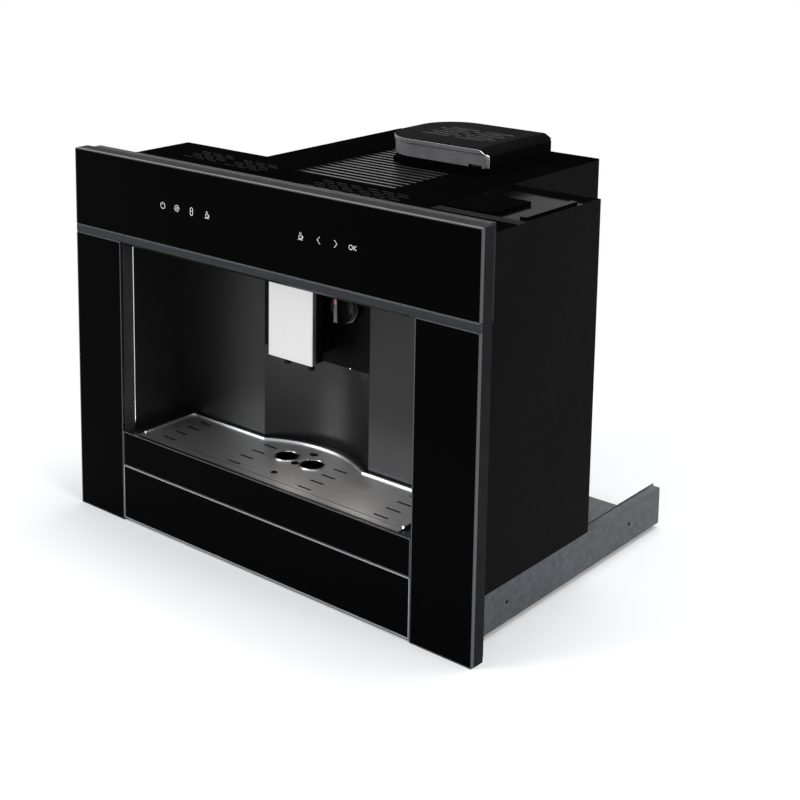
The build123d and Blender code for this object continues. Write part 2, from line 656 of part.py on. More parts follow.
# steel grille: pressed plate with a raised polished rim, slots, cup holes and a folded skirt
SLOT_L = 21.0
SLOT_W = 3.0
SLOT_ROWS = (23.0, 44.0, 64.0, 85.0)
SLOT_PITCH = (2 * GRILLE_HALF - 72.0) / 3
with BuildPart() as drip_grille:
    extrude(grille_plan(LEDGE, GRILLE_FRONT), amount=GRILLE_TOP - LEDGE)
    extrude(grille_plan(LEDGE, GRILLE_FRONT + 1.2, -1.2), amount=GRILLE_UNDER - LEDGE, mode=Mode.SUBTRACT)
    extrude(grille_plan(GRILLE_TOP, GRILLE_FRONT + 11), amount=RIM_H)
    extrude(grille_plan(GRILLE_TOP, GRILLE_FRONT, -RIM_W), amount=RIM_H, mode=Mode.SUBTRACT)
    # rounded lips of the two cup holes
    for x_hole in (-CUP_HOLE_X, CUP_HOLE_X):
        post(x_hole, CUP_HOLE_D, (GRILLE_UNDER, GRILLE_TOP + 0.6), CUP_HOLE_R + 2.4, sides=24)
        post(x_hole, CUP_HOLE_D, (GRILLE_UNDER, GRILLE_TOP + 1.2), CUP_HOLE_R + 1.5, sides=24)
        post(x_hole, CUP_HOLE_D, (GRILLE_UNDER, GRILLE_TOP + 1.2), CUP_HOLE_R, Mode.SUBTRACT, sides=24)
    for depth, radius in ((FLOAT_D, STEM_R + 1.2), (68.0, 5.0), (102.0, 5.5)):
        post(0, depth, (GRILLE_UNDER, GRILLE_TOP), radius, Mode.SUBTRACT, sides=12)
    with BuildSketch(level(GRILLE_UNDER)):
        for column in range(4):
            for row in SLOT_ROWS:
                with Locations(((column - 1.5) * SLOT_PITCH, back(row))):
                    Rectangle(SLOT_L - SLOT_W, SLOT_W)
                    for end in (-1, 1):
                        with Locations((end * (SLOT_L - SLOT_W) / 2, 0)):
                            RegularPolygon(SLOT_W / 2, 4)
    extrude(amount=GRILLE_T, mode=Mode.SUBTRACT)
    # fine groove along the front edge
    slab((-GRILLE_HALF + 4, GRILLE_HALF - 4), (14.6, 15.4), (GRILLE_TOP - 0.4, GRILLE_TOP), Mode.SUBTRACT)
drip_grille.part.label = "drip_grille"
export_step(drip_grille.part, "parts/drip_grille.step")

with BuildPart() as tray_float:
    slab((-FLOAT_R, FLOAT_R), (FLOAT_D - FLOAT_R, FLOAT_D + FLOAT_R), (TUB_FLOOR + 0.3, TUB_FLOOR + 7))
    post(0, FLOAT_D, (TUB_FLOOR + 7, GRILLE_UNDER - FLOAT_RISE - FLOAT_ROOM), STEM_R, sides=12)
tray_float.part.label = "tray_float"
export_step(tray_float.part, "parts/tray_float.step")

# ---------------------------------------------------------------- grounds drawer
DRAWER_FLOOR = BASE_TOP + 1.5
DRAWER_FRONT_Z = (DRAWER_BOTTOM, TRAY_BOTTOM - DRAWER_GAP)
with BuildPart() as drawer_front_trim:
    edge_ring((-FRONT_HALF, FRONT_HALF), DRAWER_FRONT_Z)
drawer_front_trim.part.label = "drawer_front_trim"
export_step(drawer_front_trim.part, "parts/drawer_front_trim.step")

with BuildPart() as drawer_front_glass:
    glass_plate((-FRONT_HALF, FRONT_HALF), DRAWER_FRONT_Z)
drawer_front_glass.part.label = "drawer_front_glass"
export_step(drawer_front_glass.part, "parts/drawer_front_glass.step")

BIN_HALF = DRAWER_HALF - 64.0
BIN_FRONT = 70.0
with BuildPart() as grounds_drawer:
    slab((-DRAWER_HALF, DRAWER_HALF), (GLASS_BACK, DRAWER_BACK), (DRAWER_FLOOR, DRAWER_TOP))
    slab(
        (-DRAWER_HALF + WALL, DRAWER_HALF - WALL),
        (GLASS_BACK + WALL, DRAWER_BACK - WALL),
        (DRAWER_FLOOR + 2, DRAWER_TOP),
        Mode.SUBTRACT,
    )
    # skids below, and two low ribs that keep the bin in place
    for side in (-1, 1):
        slab(
            sorted((side * (DRAWER_HALF - 30), side * (DRAWER_HALF - 24))),
            (GLASS_BACK + 10, DRAWER_BACK),
            (BASE_TOP + 0.3, DRAWER_FLOOR),
        )
        slab(
            sorted((side * (BIN_HALF + 0.5), side * (BIN_HALF + 2.5))),
            (BIN_FRONT, DRAWER_BACK - WALL),
            (DRAWER_FLOOR + 2, DRAWER_FLOOR + 12),
        )
    slab((-BIN_HALF, BIN_HALF), (BIN_FRONT - 2.5, BIN_FRONT - 0.5), (DRAWER_FLOOR + 2, DRAWER_FLOOR + 12))
grounds_drawer.part.label = "grounds_drawer"
export_step(grounds_drawer.part, "parts/grounds_drawer.step")

with BuildPart() as grounds_bin:
    slab(
        (-BIN_HALF, BIN_HALF),
        (BIN_FRONT, DRAWER_BACK - WALL - 0.5),
        (DRAWER_FLOOR + 2, DRAWER_TOP - 1),
        radius=8,
    )
    slab(
        (-BIN_HALF + 2, BIN_HALF - 2),
        (BIN_FRONT + 2, DRAWER_BACK - WALL - 2.5),
        (DRAWER_FLOOR + 4, DRAWER_TOP - 1),
        Mode.SUBTRACT,
        radius=6,
    )
grounds_bin.part.label = "grounds_bin"
export_step(grounds_bin.part, "parts/grounds_bin.step")

# ---------------------------------------------------------------- base and runners
with BuildPart() as base_plate:
    slab((-BASE_HALF, BASE_HALF), (FRAME_DEPTH, BASE_BACK), (FOOT_H, BASE_TOP))
    for side in (-1, 1):
        slab(
            sorted((side * (BASE_HALF - BASE_T), side * BASE_HALF)),
            (FRAME_DEPTH, BASE_BACK),
            (FOOT_H, FLANGE_TOP),
        )
    # vents under the machine, behind the drawer
    with BuildSketch(level(FOOT_H)):
        for column in (-70.0, 0.0, 70.0):
            for row in (250.0, 265.0, 280.0):
                with Locations((column, back(row))):
                    Rectangle(48, 4)
    extrude(amount=BASE_T, mode=Mode.SUBTRACT)
base_plate.part.label = "base_plate"
export_step(base_plate.part, "parts/base_plate.step")

with BuildPart() as rubber_feet:
    for x_foot in (-BASE_HALF + 30, BASE_HALF - 30):
        for d_foot in (50.0, BASE_BACK - 30):
            post(x_foot, d_foot, (0, FOOT_H), 12, sides=16)
rubber_feet.part.label = "rubber_feet"
export_step(rubber_feet.part, "parts/rubber_feet.step")

RUNNER_D = (RUNNER_FRONT, RUNNER_FRONT + RUNNER_LENGTH)
RUNNER_STEP = RUNNER_T + RUN_GAP  # each member nests inside the next


def runner(side, web, reach, half_height):
    """One rolled channel: its web stands at one x and its two lips reach to another."""
    for low, high in ((-half_height, -half_height + RUNNER_T), (half_height - RUNNER_T, half_height)):
        slab(sorted((side * web[0], side * reach)), RUNNER_D, (RUNNER_Z + low, RUNNER_Z + high))
    slab(
        sorted((side * web[0], side * web[1])),
        RUNNER_D,
        (RUNNER_Z - half_height, RUNNER_Z + half_height),
    )


def runner_holes(side, web, radius):
    """Two screw holes through a web, front and rear."""
    with BuildSketch(Plane.YZ.offset(min(side * web[0], side * web[1]))) as view:
        for end in (-1, 1):
            with Locations((back(sum(RUNNER_D) / 2) + end * RUNNER_HOLE_SPAN / 2, RUNNER_Z)):
                Circle(radius)
    extrude(view.sketch, amount=abs(web[1] - web[0]), mode=Mode.SUBTRACT)


INNER_WEB = (BASE_HALF, BASE_HALF + RUNNER_T)
MIDDLE_WEB = (BASE_HALF + 7.0, BASE_HALF + 7.0 + RUNNER_T)
OUTER_WEB = (BASE_HALF + RUNNER_W, BASE_HALF + RUNNER_W - RUNNER_T)
with BuildPart() as runners_inner:
    for side in (-1, 1):
        runner(side, INNER_WEB, BASE_HALF + 6.5, RUNNER_H / 2 - 2 * RUNNER_STEP)
runners_inner.part.label = "runners_inner"
export_step(runners_inner.part, "parts/runners_inner.step")

with BuildPart() as runner_middle_left:
    runner(-1, MIDDLE_WEB, BASE_HALF + 2.0, RUNNER_H / 2 - RUNNER_STEP)
runner_middle_left.part.label = "runner_middle_left"
export_step(runner_middle_left.part, "parts/runner_middle_left.step")

with BuildPart() as runner_middle_right:
    runner(1, MIDDLE_WEB, BASE_HALF + 2.0, RUNNER_H / 2 - RUNNER_STEP)
runner_middle_right.part.label = "runner_middle_right"
export_step(runner_middle_right.part, "parts/runner_middle_right.step")

with BuildPart() as runner_outer_left:
    runner(-1, OUTER_WEB, BASE_HALF + 2.5, RUNNER_H / 2)
    runner_holes(-1, OUTER_WEB, RUNNER_HOLE_R)
runner_outer_left.part.label = "runner_outer_left"
export_step(runner_outer_left.part, "parts/runner_outer_left.step")

with BuildPart() as runner_outer_right:
    runner(1, OUTER_WEB, BASE_HALF + 2.5, RUNNER_H / 2)
    runner_holes(1, OUTER_WEB, RUNNER_HOLE_R)
runner_outer_right.part.label = "runner_outer_right"
export_step(runner_outer_right.part, "parts/runner_outer_right.step")

# ---------------------------------------------------------------- casing
TOP_UNDER = COVER_TOP - TOP_T


def cover_wall(side, core, wing_back, z):
    """Bent sheet between two heights: wing side, wing back and core side."""
    wing = side * WING_HALF
    inset = side * SHEET
    with BuildSketch(level(z[0])) as plan:
        with BuildLine():
            Polyline(
                (wing, back(FRAME_DEPTH)),
                (wing, back(wing_back)),
                (core, back(wing_back)),
                (core, back(REAR_FACE)),
                (core - inset, back(REAR_FACE)),
                (core - inset, back(wing_back - SHEET)),
                (wing - inset, back(wing_back - SHEET)),
                (wing - inset, back(FRAME_DEPTH)),
                close=True,
            )
        make_face()
    extrude(plan.sketch, amount=z[1] - z[0])


def cover_cuts(side, wing_back):
    """Room for the runner below and the control box above, and the floor of the wing."""
    wing = side * WING_HALF
    outside = sorted((side * GUIDE_WALL, side * (WING_HALF + 1)))
    slab(outside, (FRAME_DEPTH - 1, wing_back + 1), (BASE_TOP, WING_FLOOR), Mode.SUBTRACT)
    slab(outside, (FRAME_DEPTH - 1, BOX_BACK), (BAY_TOP + WALL, TOP_UNDER), Mode.SUBTRACT)
    slab(
        sorted((side * GUIDE_WALL, wing)),
        (FRAME_DEPTH, wing_back),
        (WING_FLOOR, WING_FLOOR + SHEET),
    )


with BuildPart() as left_cover:
    cover_wall(-1, CORE_LEFT, LEFT_WING_BACK, (BASE_TOP, TOP_UNDER))
    cover_cuts(-1, LEFT_WING_BACK)
    # vent slots high on the wing's back
    with BuildSketch(facing(LEFT_WING_BACK)):
        for row in range(6):
            with Locations(((CORE_LEFT - WING_HALF) / 2, COVER_TOP - 80 + 9 * row)):
                Rectangle(70, 4)
    extrude(amount=SHEET, mode=Mode.SUBTRACT)
left_cover.part.label = "left_cover"
export_step(left_cover.part, "parts/left_cover.step")

OUTLET_R = 5.0
SOCKET_Z = DOCK_TOP - SHEET - 9
DOCK_X = (CORE_RIGHT - SHEET, WING_HALF)
with BuildPart() as right_cover:
    cover_wall(1, CORE_RIGHT, DOCK_BACK, (BASE_TOP, RIGHT_STEP_Z))
    cover_cuts(1, DOCK_BACK)
    # floor of the well that holds the tank, its front wall and the wall towards the core
    slab(DOCK_X, (RIGHT_STEP_BACK - SHEET, DOCK_BACK), (DOCK_TOP - SHEET, DOCK_TOP))
    slab(DOCK_X, (RIGHT_STEP_BACK - SHEET, RIGHT_STEP_BACK), (DOCK_TOP, RIGHT_STEP_Z))
    slab(
        (DOCK_X[0], CORE_RIGHT),
        (RIGHT_STEP_BACK - SHEET, DOCK_BACK),
        (DOCK_TOP, RIGHT_STEP_Z),
    )
    slab(
        DOCK_X,
        (RIGHT_WING_BACK - SHEET, RIGHT_STEP_BACK),
        (RIGHT_STEP_Z - SHEET, RIGHT_STEP_Z),
    )
    # socket that the tank's outlet plugs into
    post(*TANK_OUTLET, (SOCKET_Z, DOCK_TOP - SHEET), OUTLET_R + 4, sides=8)
    post(*TANK_OUTLET, (SOCKET_Z + 3, DOCK_TOP), OUTLET_R + 2 * RUN_GAP, Mode.SUBTRACT, sides=12)
right_cover.part.label = "right_cover"
export_step(right_cover.part, "parts/right_cover.step")

INLET_X = -85.0
INLET_Z = COVER_TOP - 55.0
INLET_W = 62.0
INLET_H = 30.0
SCREW_R = 1.75
HEAD_R = 3.6
REAR_SCREWS = [(x, z) for x in (CORE_LEFT + 14, CORE_RIGHT - 14) for z in (30.0, 225.0, COVER_TOP - 18)]
with BuildPart() as rear_cover:
    slab(
        (CORE_LEFT + SHEET, CORE_RIGHT - SHEET),
        (REAR_FACE - SHEET, REAR_FACE),
        (BASE_TOP, TOP_UNDER),
    )
    # inlet window and rows of vents, high and low
    with BuildSketch(facing(REAR_FACE)):
        with Locations((INLET_X, INLET_Z)):
            Rectangle(INLET_W, INLET_H)
        for row in range(7):
            for column in range(3):
                with Locations((CORE_LEFT + 55 + 98 * column, 60 + 10 * row)):
                    Rectangle(70, 4)
        for row in range(4):
            with Locations((65, COVER_TOP - 70 + 10 * row)):
                Rectangle(110, 4)
    extrude(amount=SHEET, mode=Mode.SUBTRACT)
    for x_screw, z_screw in REAR_SCREWS:
        stud(x_screw, z_screw, (REAR_FACE - SHEET, REAR_FACE), SCREW_R + 0.3, Mode.SUBTRACT, sides=8)
rear_cover.part.label = "rear_cover"
export_step(rear_cover.part, "parts/rear_cover.step")

with BuildPart() as rear_screws:
    for x_screw, z_screw in REAR_SCREWS:
        stud(x_screw, z_screw, (REAR_FACE, DEPTH), HEAD_R, sides=6)
        stud(x_screw, z_screw, (REAR_FACE - 6, REAR_FACE), SCREW_R, sides=8)
rear_screws.part.label = "rear_screws"
export_step(rear_screws.part, "parts/rear_screws.step")

# places of the louvres in the top cover, and the size of one slot
LOUVRES = (((CORE_LEFT - WING_HALF) / 2 + 19, 125.0), (-115.0, 120.0), (30.0, 100.0), (95.0, 100.0))
LOUVRE_L = 16.0
LOUVRE_W = 2.4
with BuildPart() as top_cover:
    extrude(casing_plan(TOP_UNDER, BOX_BACK), amount=COVER_TOP - TOP_UNDER)
    # folded edge inside the side covers
    extrude(casing_plan(TOP_UNDER - 8, BOX_BACK, -SHEET - 0.3), amount=8)
    extrude(casing_plan(TOP_UNDER - 8, BOX_BACK + SHEET, -2 * SHEET - 0.3), amount=8, mode=Mode.SUBTRACT)
    # recess and hopper mouth
    slab(
        (RECESS_LEFT, RECESS_RIGHT),
        (RECESS_FRONT, RECESS_BACK),
        (TOP_UNDER, COVER_TOP),
        Mode.SUBTRACT,
    )
    extrude(lid_plan(TOP_UNDER, 3), amount=COVER_TOP - TOP_UNDER)
    slab(
        (HOPPER_X - HOPPER_W / 2 - 0.5, HOPPER_X + HOPPER_W / 2 + 0.5),
        (HOPPER_D - HOPPER_L / 2 - 0.5, HOPPER_D + HOPPER_L / 2 + 0.5),
        (TOP_UNDER, COVER_TOP),
        Mode.SUBTRACT,
    )
    with BuildSketch(level(TOP_UNDER)):
        for x_group, d_group in LOUVRES:
            for row in range(5):
                for column in (-1, 0, 1):
                    stagger = 4.0 if row % 2 else -4.0
                    with Locations((x_group + 20 * column + stagger, back(d_group + 8 * (row - 2)))):
                        Rectangle(LOUVRE_L, LOUVRE_W)
    extrude(amount=COVER_TOP - TOP_UNDER, mode=Mode.SUBTRACT)
top_cover.part.label = "top_cover"
export_step(top_cover.part, "parts/top_cover.step")

PAN_WALL = 1.5
with BuildPart() as ribbed_pan:
    slab(
        (RECESS_LEFT - PAN_WALL, RECESS_RIGHT + PAN_WALL),
        (RECESS_FRONT - PAN_WALL, RECESS_BACK + PAN_WALL),
        (RECESS_FLOOR - PAN_WALL, TOP_UNDER),
    )
    slab(
        (RECESS_LEFT, RECESS_RIGHT),
        (RECESS_FRONT, RECESS_BACK),
        (RECESS_FLOOR, TOP_UNDER),
        Mode.SUBTRACT,
    )
    rib_count = int((RECESS_BACK - RECESS_FRONT) / RIB_PITCH)
    for rib in range(rib_count):
        middle = RECESS_FRONT + RIB_PITCH * (rib + 0.5)
        slab(
            (RECESS_LEFT, RECESS_RIGHT),
            (middle - 2.2, middle + 2.2),
            (RECESS_FLOOR, TOP_UNDER - 1.5),
        )
    # cut back to leave room for the bean hopper
    slab(
        (HOPPER_X - HOPPER_W / 2 - 3, RECESS_RIGHT + PAN_WALL),
        (HOPPER_D - HOPPER_L / 2 - 3, RECESS_BACK + PAN_WALL),
        (RECESS_FLOOR - PAN_WALL, TOP_UNDER),
        Mode.SUBTRACT,
    )
ribbed_pan.part.label = "ribbed_pan"
export_step(ribbed_pan.part, "parts/ribbed_pan.step")

# ---------------------------------------------------------------- beans and grinder
FLOOR_HOLES = [(HOPPER_X + 20 * c, HOPPER_D + 20 * s) for c, s in ((1, 0), (-0.5, 0.866), (-0.5, -0.866))]


def hopper_cone(shrink, low, high):
    """Loft from the hopper's mouth down to its round floor, shrunk by a wall."""
    with BuildSketch(level(high)) as mouth:
        with Locations((HOPPER_X, back(HOPPER_D))):
            Rectangle(HOPPER_W - 2 * shrink, HOPPER_L - 2 * shrink)
        chamfer(mouth.vertices(), 14.0 - 0.6 * shrink)
    with BuildSketch(level(low)) as foot:
        with Locations((HOPPER_X, back(HOPPER_D))):
            Rectangle(2 * (NECK_R - shrink), 2 * (NECK_R - shrink))
        chamfer(foot.vertices(), 14.0 - 0.6 * shrink)
    return mouth.sketch, foot.sketch


with BuildPart() as bean_hopper:
    loft(hopper_cone(0, HOPPER_FLOOR, COVER_TOP), ruled=True)
    extrude(lid_plan(COVER_TOP, -1), amount=COLLAR_TOP - COVER_TOP)
    loft(hopper_cone(2, HOPPER_FLOOR + 2, COVER_TOP), ruled=True, mode=Mode.SUBTRACT)
    slab(
        (HOPPER_X - HOPPER_W / 2 + 2, HOPPER_X + HOPPER_W / 2 - 2),
        (HOPPER_D - HOPPER_L / 2 + 2, HOPPER_D + HOPPER_L / 2 - 2),
        (COVER_TOP, COLLAR_TOP),
        Mode.SUBTRACT,
    )
    # foot ring on the grinder, mill holes and the bearing of the dial
    post(HOPPER_X, HOPPER_D, (GRINDER_TOP, HOPPER_FLOOR), NECK_R - 1, sides=12)
    for x_hole, d_hole in FLOOR_HOLES:
        post(x_hole, d_hole, (GRINDER_TOP, HOPPER_FLOOR + 2), 8, Mode.SUBTRACT, sides=8)
    post(HOPPER_X, HOPPER_D, (GRINDER_TOP, HOPPER_FLOOR + 2), 4 + SHAFT_FIT, Mode.SUBTRACT)
bean_hopper.part.label = "bean_hopper"
export_step(bean_hopper.part, "parts/bean_hopper.step")

LID_SEAT = COLLAR_TOP + 0.3
LID_SHELL = 6.0  # thickness of the overhanging top shell
LID_BEVEL = 9.0  # long bevel down the right side
with BuildPart() as bean_lid:
    extrude(lid_plan(LID_SEAT), amount=LID_TOP - LID_SHELL - LID_SEAT)
    extrude(lid_plan(LID_TOP - LID_SHELL, 1.5), amount=LID_SHELL)
    chamfer(bean_lid.faces().sort_by(Axis.Z)[-1].edges(), 1.2)
    with BuildSketch(Plane.XZ.offset(-back(LID_BACK + 2))) as wedge:
        with BuildLine():
            Polyline(
                (LID_RIGHT + 2, LID_TOP - LID_BEVEL),
                (LID_RIGHT + 2, LID_TOP + 1),
                (LID_RIGHT - 1.6 * LID_BEVEL, LID_TOP + 1),
                close=True,
            )
        make_face()
    extrude(wedge.sketch, amount=LID_BACK - LID_FRONT + 4, mode=Mode.SUBTRACT)
    extrude(lid_plan(LID_SEAT, -6), amount=LID_TOP - LID_SHELL - LID_SEAT - 3, mode=Mode.SUBTRACT)
    with BuildSketch(level(LID_TOP - LID_SHELL - 3)):
        for row in range(6):
            for column in (-1, 1):
                stagger = 5.0 if row % 2 else -5.0
                with Locations((HOPPER_X - 10 + 25 * column + stagger, back(HOPPER_D + 10 * (row - 2.5)))):
                    Rectangle(42, 3.2)
    extrude(amount=LID_SHELL + 3, mode=Mode.SUBTRACT)
    # finger notch in the front edge
    slab((100, 118), (LID_FRONT - 1, LID_FRONT + 5), (LID_SEAT, LID_SEAT + 3), Mode.SUBTRACT)
bean_lid.part.label = "bean_lid"
export_step(bean_lid.part, "parts/bean_lid.step")

with BuildPart() as grind_dial:
    with BuildSketch(level(HOPPER_FLOOR + 2.4)):
        with Locations((HOPPER_X, back(HOPPER_D))):
            RegularPolygon(11.5, 12)
    extrude(amount=14)
    slab((HOPPER_X - 2, HOPPER_X + 2), (HOPPER_D - 10, HOPPER_D + 10), (HOPPER_FLOOR + 16, HOPPER_FLOOR + 24))
    post(HOPPER_X, HOPPER_D, (GRINDER_TOP - 8, HOPPER_FLOOR + 3), 4)
grind_dial.part.label = "grind_dial"
export_step(grind_dial.part, "parts/grind_dial.step")

BREW_HALF = 46.0
BREW_FRONT = 148.0
BREW_BACK = 236.0
BREW_BOTTOM = 78.0
BREW_TOP = 238.0
CHAMBER_D = 192.0
CHAMBER_R = 25.0
CHUTE_START = Vector(HOPPER_X - 22, back(HOPPER_D - 36), GRINDER_BOTTOM + 16)
CHUTE_END = Vector(14, back(CHAMBER_D + 22), BREW_TOP + 12)
with BuildPart() as grinder_housing:
    post(HOPPER_X, HOPPER_D, (SHELF_TOP, GRINDER_BOTTOM), GRINDER_R + 8, sides=8)
    post(HOPPER_X, HOPPER_D, (GRINDER_BOTTOM, GRINDER_TOP), GRINDER_R, sides=24)
    chute_axis = CHUTE_END - CHUTE_START
    chute_plane = Plane(origin=CHUTE_START, x_dir=(1, 0, 0), z_dir=chute_axis)
    with BuildSketch(chute_plane) as chute:
        Rectangle(26, 20)
    extrude(chute.sketch, amount=chute_axis.length)
    post(HOPPER_X, HOPPER_D, (GRINDER_BOTTOM, GRINDER_TOP - 4), GRINDER_R - 5, Mode.SUBTRACT, sides=24)
    with BuildSketch(chute_plane) as duct:
        Rectangle(22, 16)
    extrude(duct.sketch, amount=chute_axis.length, mode=Mode.SUBTRACT)
    # fixed ring burr, held by its own web above the outlet
    with BuildSketch(level(GRINDER_TOP - 34)) as ring:
        with Locations((HOPPER_X, back(HOPPER_D))):
            RegularPolygon(GRINDER_R - 3, 24)
            RegularPolygon(23, 12, major_radius=False, mode=Mode.SUBTRACT)
    extrude(ring.sketch, amount=12)
    for x_hole, d_hole in FLOOR_HOLES:
        post(x_hole, d_hole, (GRINDER_TOP - 4, GRINDER_TOP), 8, Mode.SUBTRACT, sides=8)
    post(HOPPER_X, HOPPER_D, (GRINDER_TOP - 4, GRINDER_TOP), 4 + SHAFT_FIT, Mode.SUBTRACT)
    post(HOPPER_X, HOPPER_D, (SHELF_TOP, GRINDER_BOTTOM), 9, Mode.SUBTRACT, sides=8)
grinder_housing.part.label = "grinder_housing"
export_step(grinder_housing.part, "parts/grinder_housing.step")

with BuildPart() as grinder_burr:
    with BuildSketch(level(GRINDER_TOP - 37)) as skirt:
        with Locations((HOPPER_X, back(HOPPER_D))):
            RegularPolygon(21, 24)
    with BuildSketch(level(GRINDER_TOP - 13)) as crown:
        with Locations((HOPPER_X, back(HOPPER_D))):
            RegularPolygon(9, 24)
    loft((skirt.sketch, crown.sketch), ruled=True)
    post(HOPPER_X, HOPPER_D, (SHELF_TOP - 12, GRINDER_TOP - 37), 4)
    # cutting flutes
    for turn in range(6):
        flute = Plane(origin=(HOPPER_X, back(HOPPER_D), GRINDER_TOP - 37), z_dir=(0, 0, 1)).rotated((0, 0, 60 * turn))
        with BuildSketch(flute) as notch:
            with Locations((20, 0)):
                Rectangle(8, 2.5)
        extrude(notch.sketch, amount=24, mode=Mode.SUBTRACT)
grinder_burr.part.label = "grinder_burr"
export_step(grinder_burr.part, "parts/grinder_burr.step")

MOTOR_R = 32.0
MOTOR_BOTTOM = SHELF_TOP - 72.5
SHELF_D = (HOPPER_D - GRINDER_R - 8, HOPPER_D + 60)
with BuildPart() as grinder_shelf:
    slab((CORE_LEFT + SHEET, CORE_RIGHT - SHEET), SHELF_D, (SHELF_TOP - 1.5, SHELF_TOP))
    for x_edge in ((CORE_LEFT + SHEET, CORE_LEFT + 2 * SHEET), (CORE_RIGHT - 2 * SHEET, CORE_RIGHT - SHEET)):
        slab(x_edge, SHELF_D, (SHELF_TOP - 16, SHELF_TOP))
    post(HOPPER_X, HOPPER_D, (SHELF_TOP - 1.5, SHELF_TOP), 12.5, Mode.SUBTRACT, sides=8)
grinder_shelf.part.label = "grinder_shelf"
export_step(grinder_shelf.part, "parts/grinder_shelf.step")

with BuildPart() as grinder_motor:
    post(HOPPER_X, HOPPER_D, (MOTOR_BOTTOM, SHELF_TOP - 1.5), MOTOR_R, sides=24)
    chamfer(grinder_motor.faces().sort_by(Axis.Z)[0].edges(), 3)
    post(HOPPER_X, HOPPER_D, (SHELF_TOP - 1.5, SHELF_TOP), 11, sides=8)
    post(HOPPER_X, HOPPER_D, (MOTOR_BOTTOM - 6, MOTOR_BOTTOM), 9, sides=8)
    post(HOPPER_X, HOPPER_D, (SHELF_TOP - 14, SHELF_TOP), 4 + SHAFT_FIT, Mode.SUBTRACT)
grinder_motor.part.label = "grinder_motor"
export_step(grinder_motor.part, "parts/grinder_motor.step")

# ---------------------------------------------------------------- brew unit
CHAMBER_Z = (118.0, 170.0)
PISTON_TRAVEL = 25.0
PISTON_LOW = CHAMBER_Z[1] - 8
with BuildPart() as brew_unit:
    for side in (-1, 1):
        slab(
            sorted((side * (BREW_HALF - 4), side * BREW_HALF)),
            (BREW_FRONT, BREW_BACK),
            (BREW_BOTTOM, BREW_TOP),
        )
        slab(
            sorted((side * (BREW_HALF - 10), side * BREW_HALF)),
            (BREW_BACK - 40, BREW_BACK),
            (BASE_TOP, BREW_BOTTOM),
        )
    slab((-BREW_HALF, BREW_HALF), (BREW_BACK - 4, BREW_BACK), (BREW_BOTTOM, BREW_TOP - 30))
    slab((-BREW_HALF, BREW_HALF), (CHAMBER_D - 34, BREW_BACK), (CHAMBER_Z[0] + 8, CHAMBER_Z[0] + 14))
    post(0, CHAMBER_D, CHAMBER_Z, CHAMBER_R + 5, sides=24)
    post(0, CHAMBER_D, (CHAMBER_Z[0] + 5, CHAMBER_Z[1]), CHAMBER_R, Mode.SUBTRACT)
    # bridge over the chamber with the bearing of the piston rod
    slab((-BREW_HALF, BREW_HALF), (CHAMBER_D - 14, CHAMBER_D + 14), (BREW_TOP - 18, BREW_TOP - 10))
    post(0, CHAMBER_D, (BREW_TOP - 18, BREW_TOP - 10), 8 + SHAFT_FIT, Mode.SUBTRACT)
    # slide that drops the spent grounds into the drawer
    slab((-20, 20), (BREW_FRONT, BREW_FRONT + 3), (BREW_BOTTOM, CHAMBER_Z[0] + 12))
    slab((-BREW_HALF, BREW_HALF), (BREW_FRONT, BREW_FRONT + 3), (CHAMBER_Z[0] + 6, CHAMBER_Z[0] + 12))
brew_unit.part.label = "brew_unit"
export_step(brew_unit.part, "parts/brew_unit.step")

with BuildPart() as brew_piston:
    post(0, CHAMBER_D, (PISTON_LOW, PISTON_LOW + 12), CHAMBER_R - 0.4, sides=32)
    post(0, CHAMBER_D, (PISTON_LOW + 12, BREW_TOP + 6), 8)
brew_piston.part.label = "brew_piston"
export_step(brew_piston.part, "parts/brew_piston.step")

# ---------------------------------------------------------------- water and heat
BOILER_X = (-132.0, -62.0)
BOILER_D = (DEPTH - 188.0, DEPTH - 104.0)
BOILER_Z = (70.0, 176.0)
BOILER_STUB_X = sum(BOILER_X) / 2
with BuildPart() as boiler:
    slab(BOILER_X, BOILER_D, BOILER_Z)
    chamfer(boiler.edges().filter_by(Axis.Z), 6)
    fin_count = 8
    fin_step = (BOILER_Z[1] - BOILER_Z[0]) / fin_count
    for fin in range(fin_count):
        low = BOILER_Z[0] + fin_step * fin + 2
        slab((BOILER_X[1] - 5, BOILER_X[1]), BOILER_D, (low, low + fin_step / 2), Mode.SUBTRACT)
    # feet on the base plate and the two pipe stubs on top
    for x_leg in (BOILER_X[0] + 12, BOILER_X[1] - 14):
        for d_leg in (BOILER_D[0] + 12, BOILER_D[1] - 12):
            post(x_leg, d_leg, (BASE_TOP, BOILER_Z[0]), 5, sides=8)
    for d_stub in (BOILER_D[0] + 20, BOILER_D[1] - 20):
        post(BOILER_STUB_X, d_stub, (BOILER_Z[1], BOILER_Z[1] + 12), 5, sides=8)
boiler.part.label = "boiler"
export_step(boiler.part, "parts/boiler.step")

PUMP_D = DEPTH - 48.0
PUMP_Z = 42.0
PUMP_X = (-118.0, -20.0)
with BuildPart() as pump:
    with BuildSketch(Plane.YZ.offset(PUMP_X[0] + 18)):
        with Locations((back(PUMP_D), PUMP_Z)):
            Rectangle(44, 44)
    extrude(amount=42)
    with BuildSketch(Plane.YZ.offset(PUMP_X[0])):
        with Locations((back(PUMP_D), PUMP_Z)):
            RegularPolygon(15, 16)
    extrude(amount=PUMP_X[1] - PUMP_X[0] - 12)
    with BuildSketch(Plane.YZ.offset(PUMP_X[1] - 12)):
        with Locations((back(PUMP_D), PUMP_Z)):
            RegularPolygon(5, 8)
    extrude(amount=12)
    for x_leg in (PUMP_X[0] + 6, PUMP_X[1] - 26):
        slab((x_leg, x_leg + 6), (PUMP_D - 14, PUMP_D + 14), (BASE_TOP, PUMP_Z - 10))
pump.part.label = "pump"
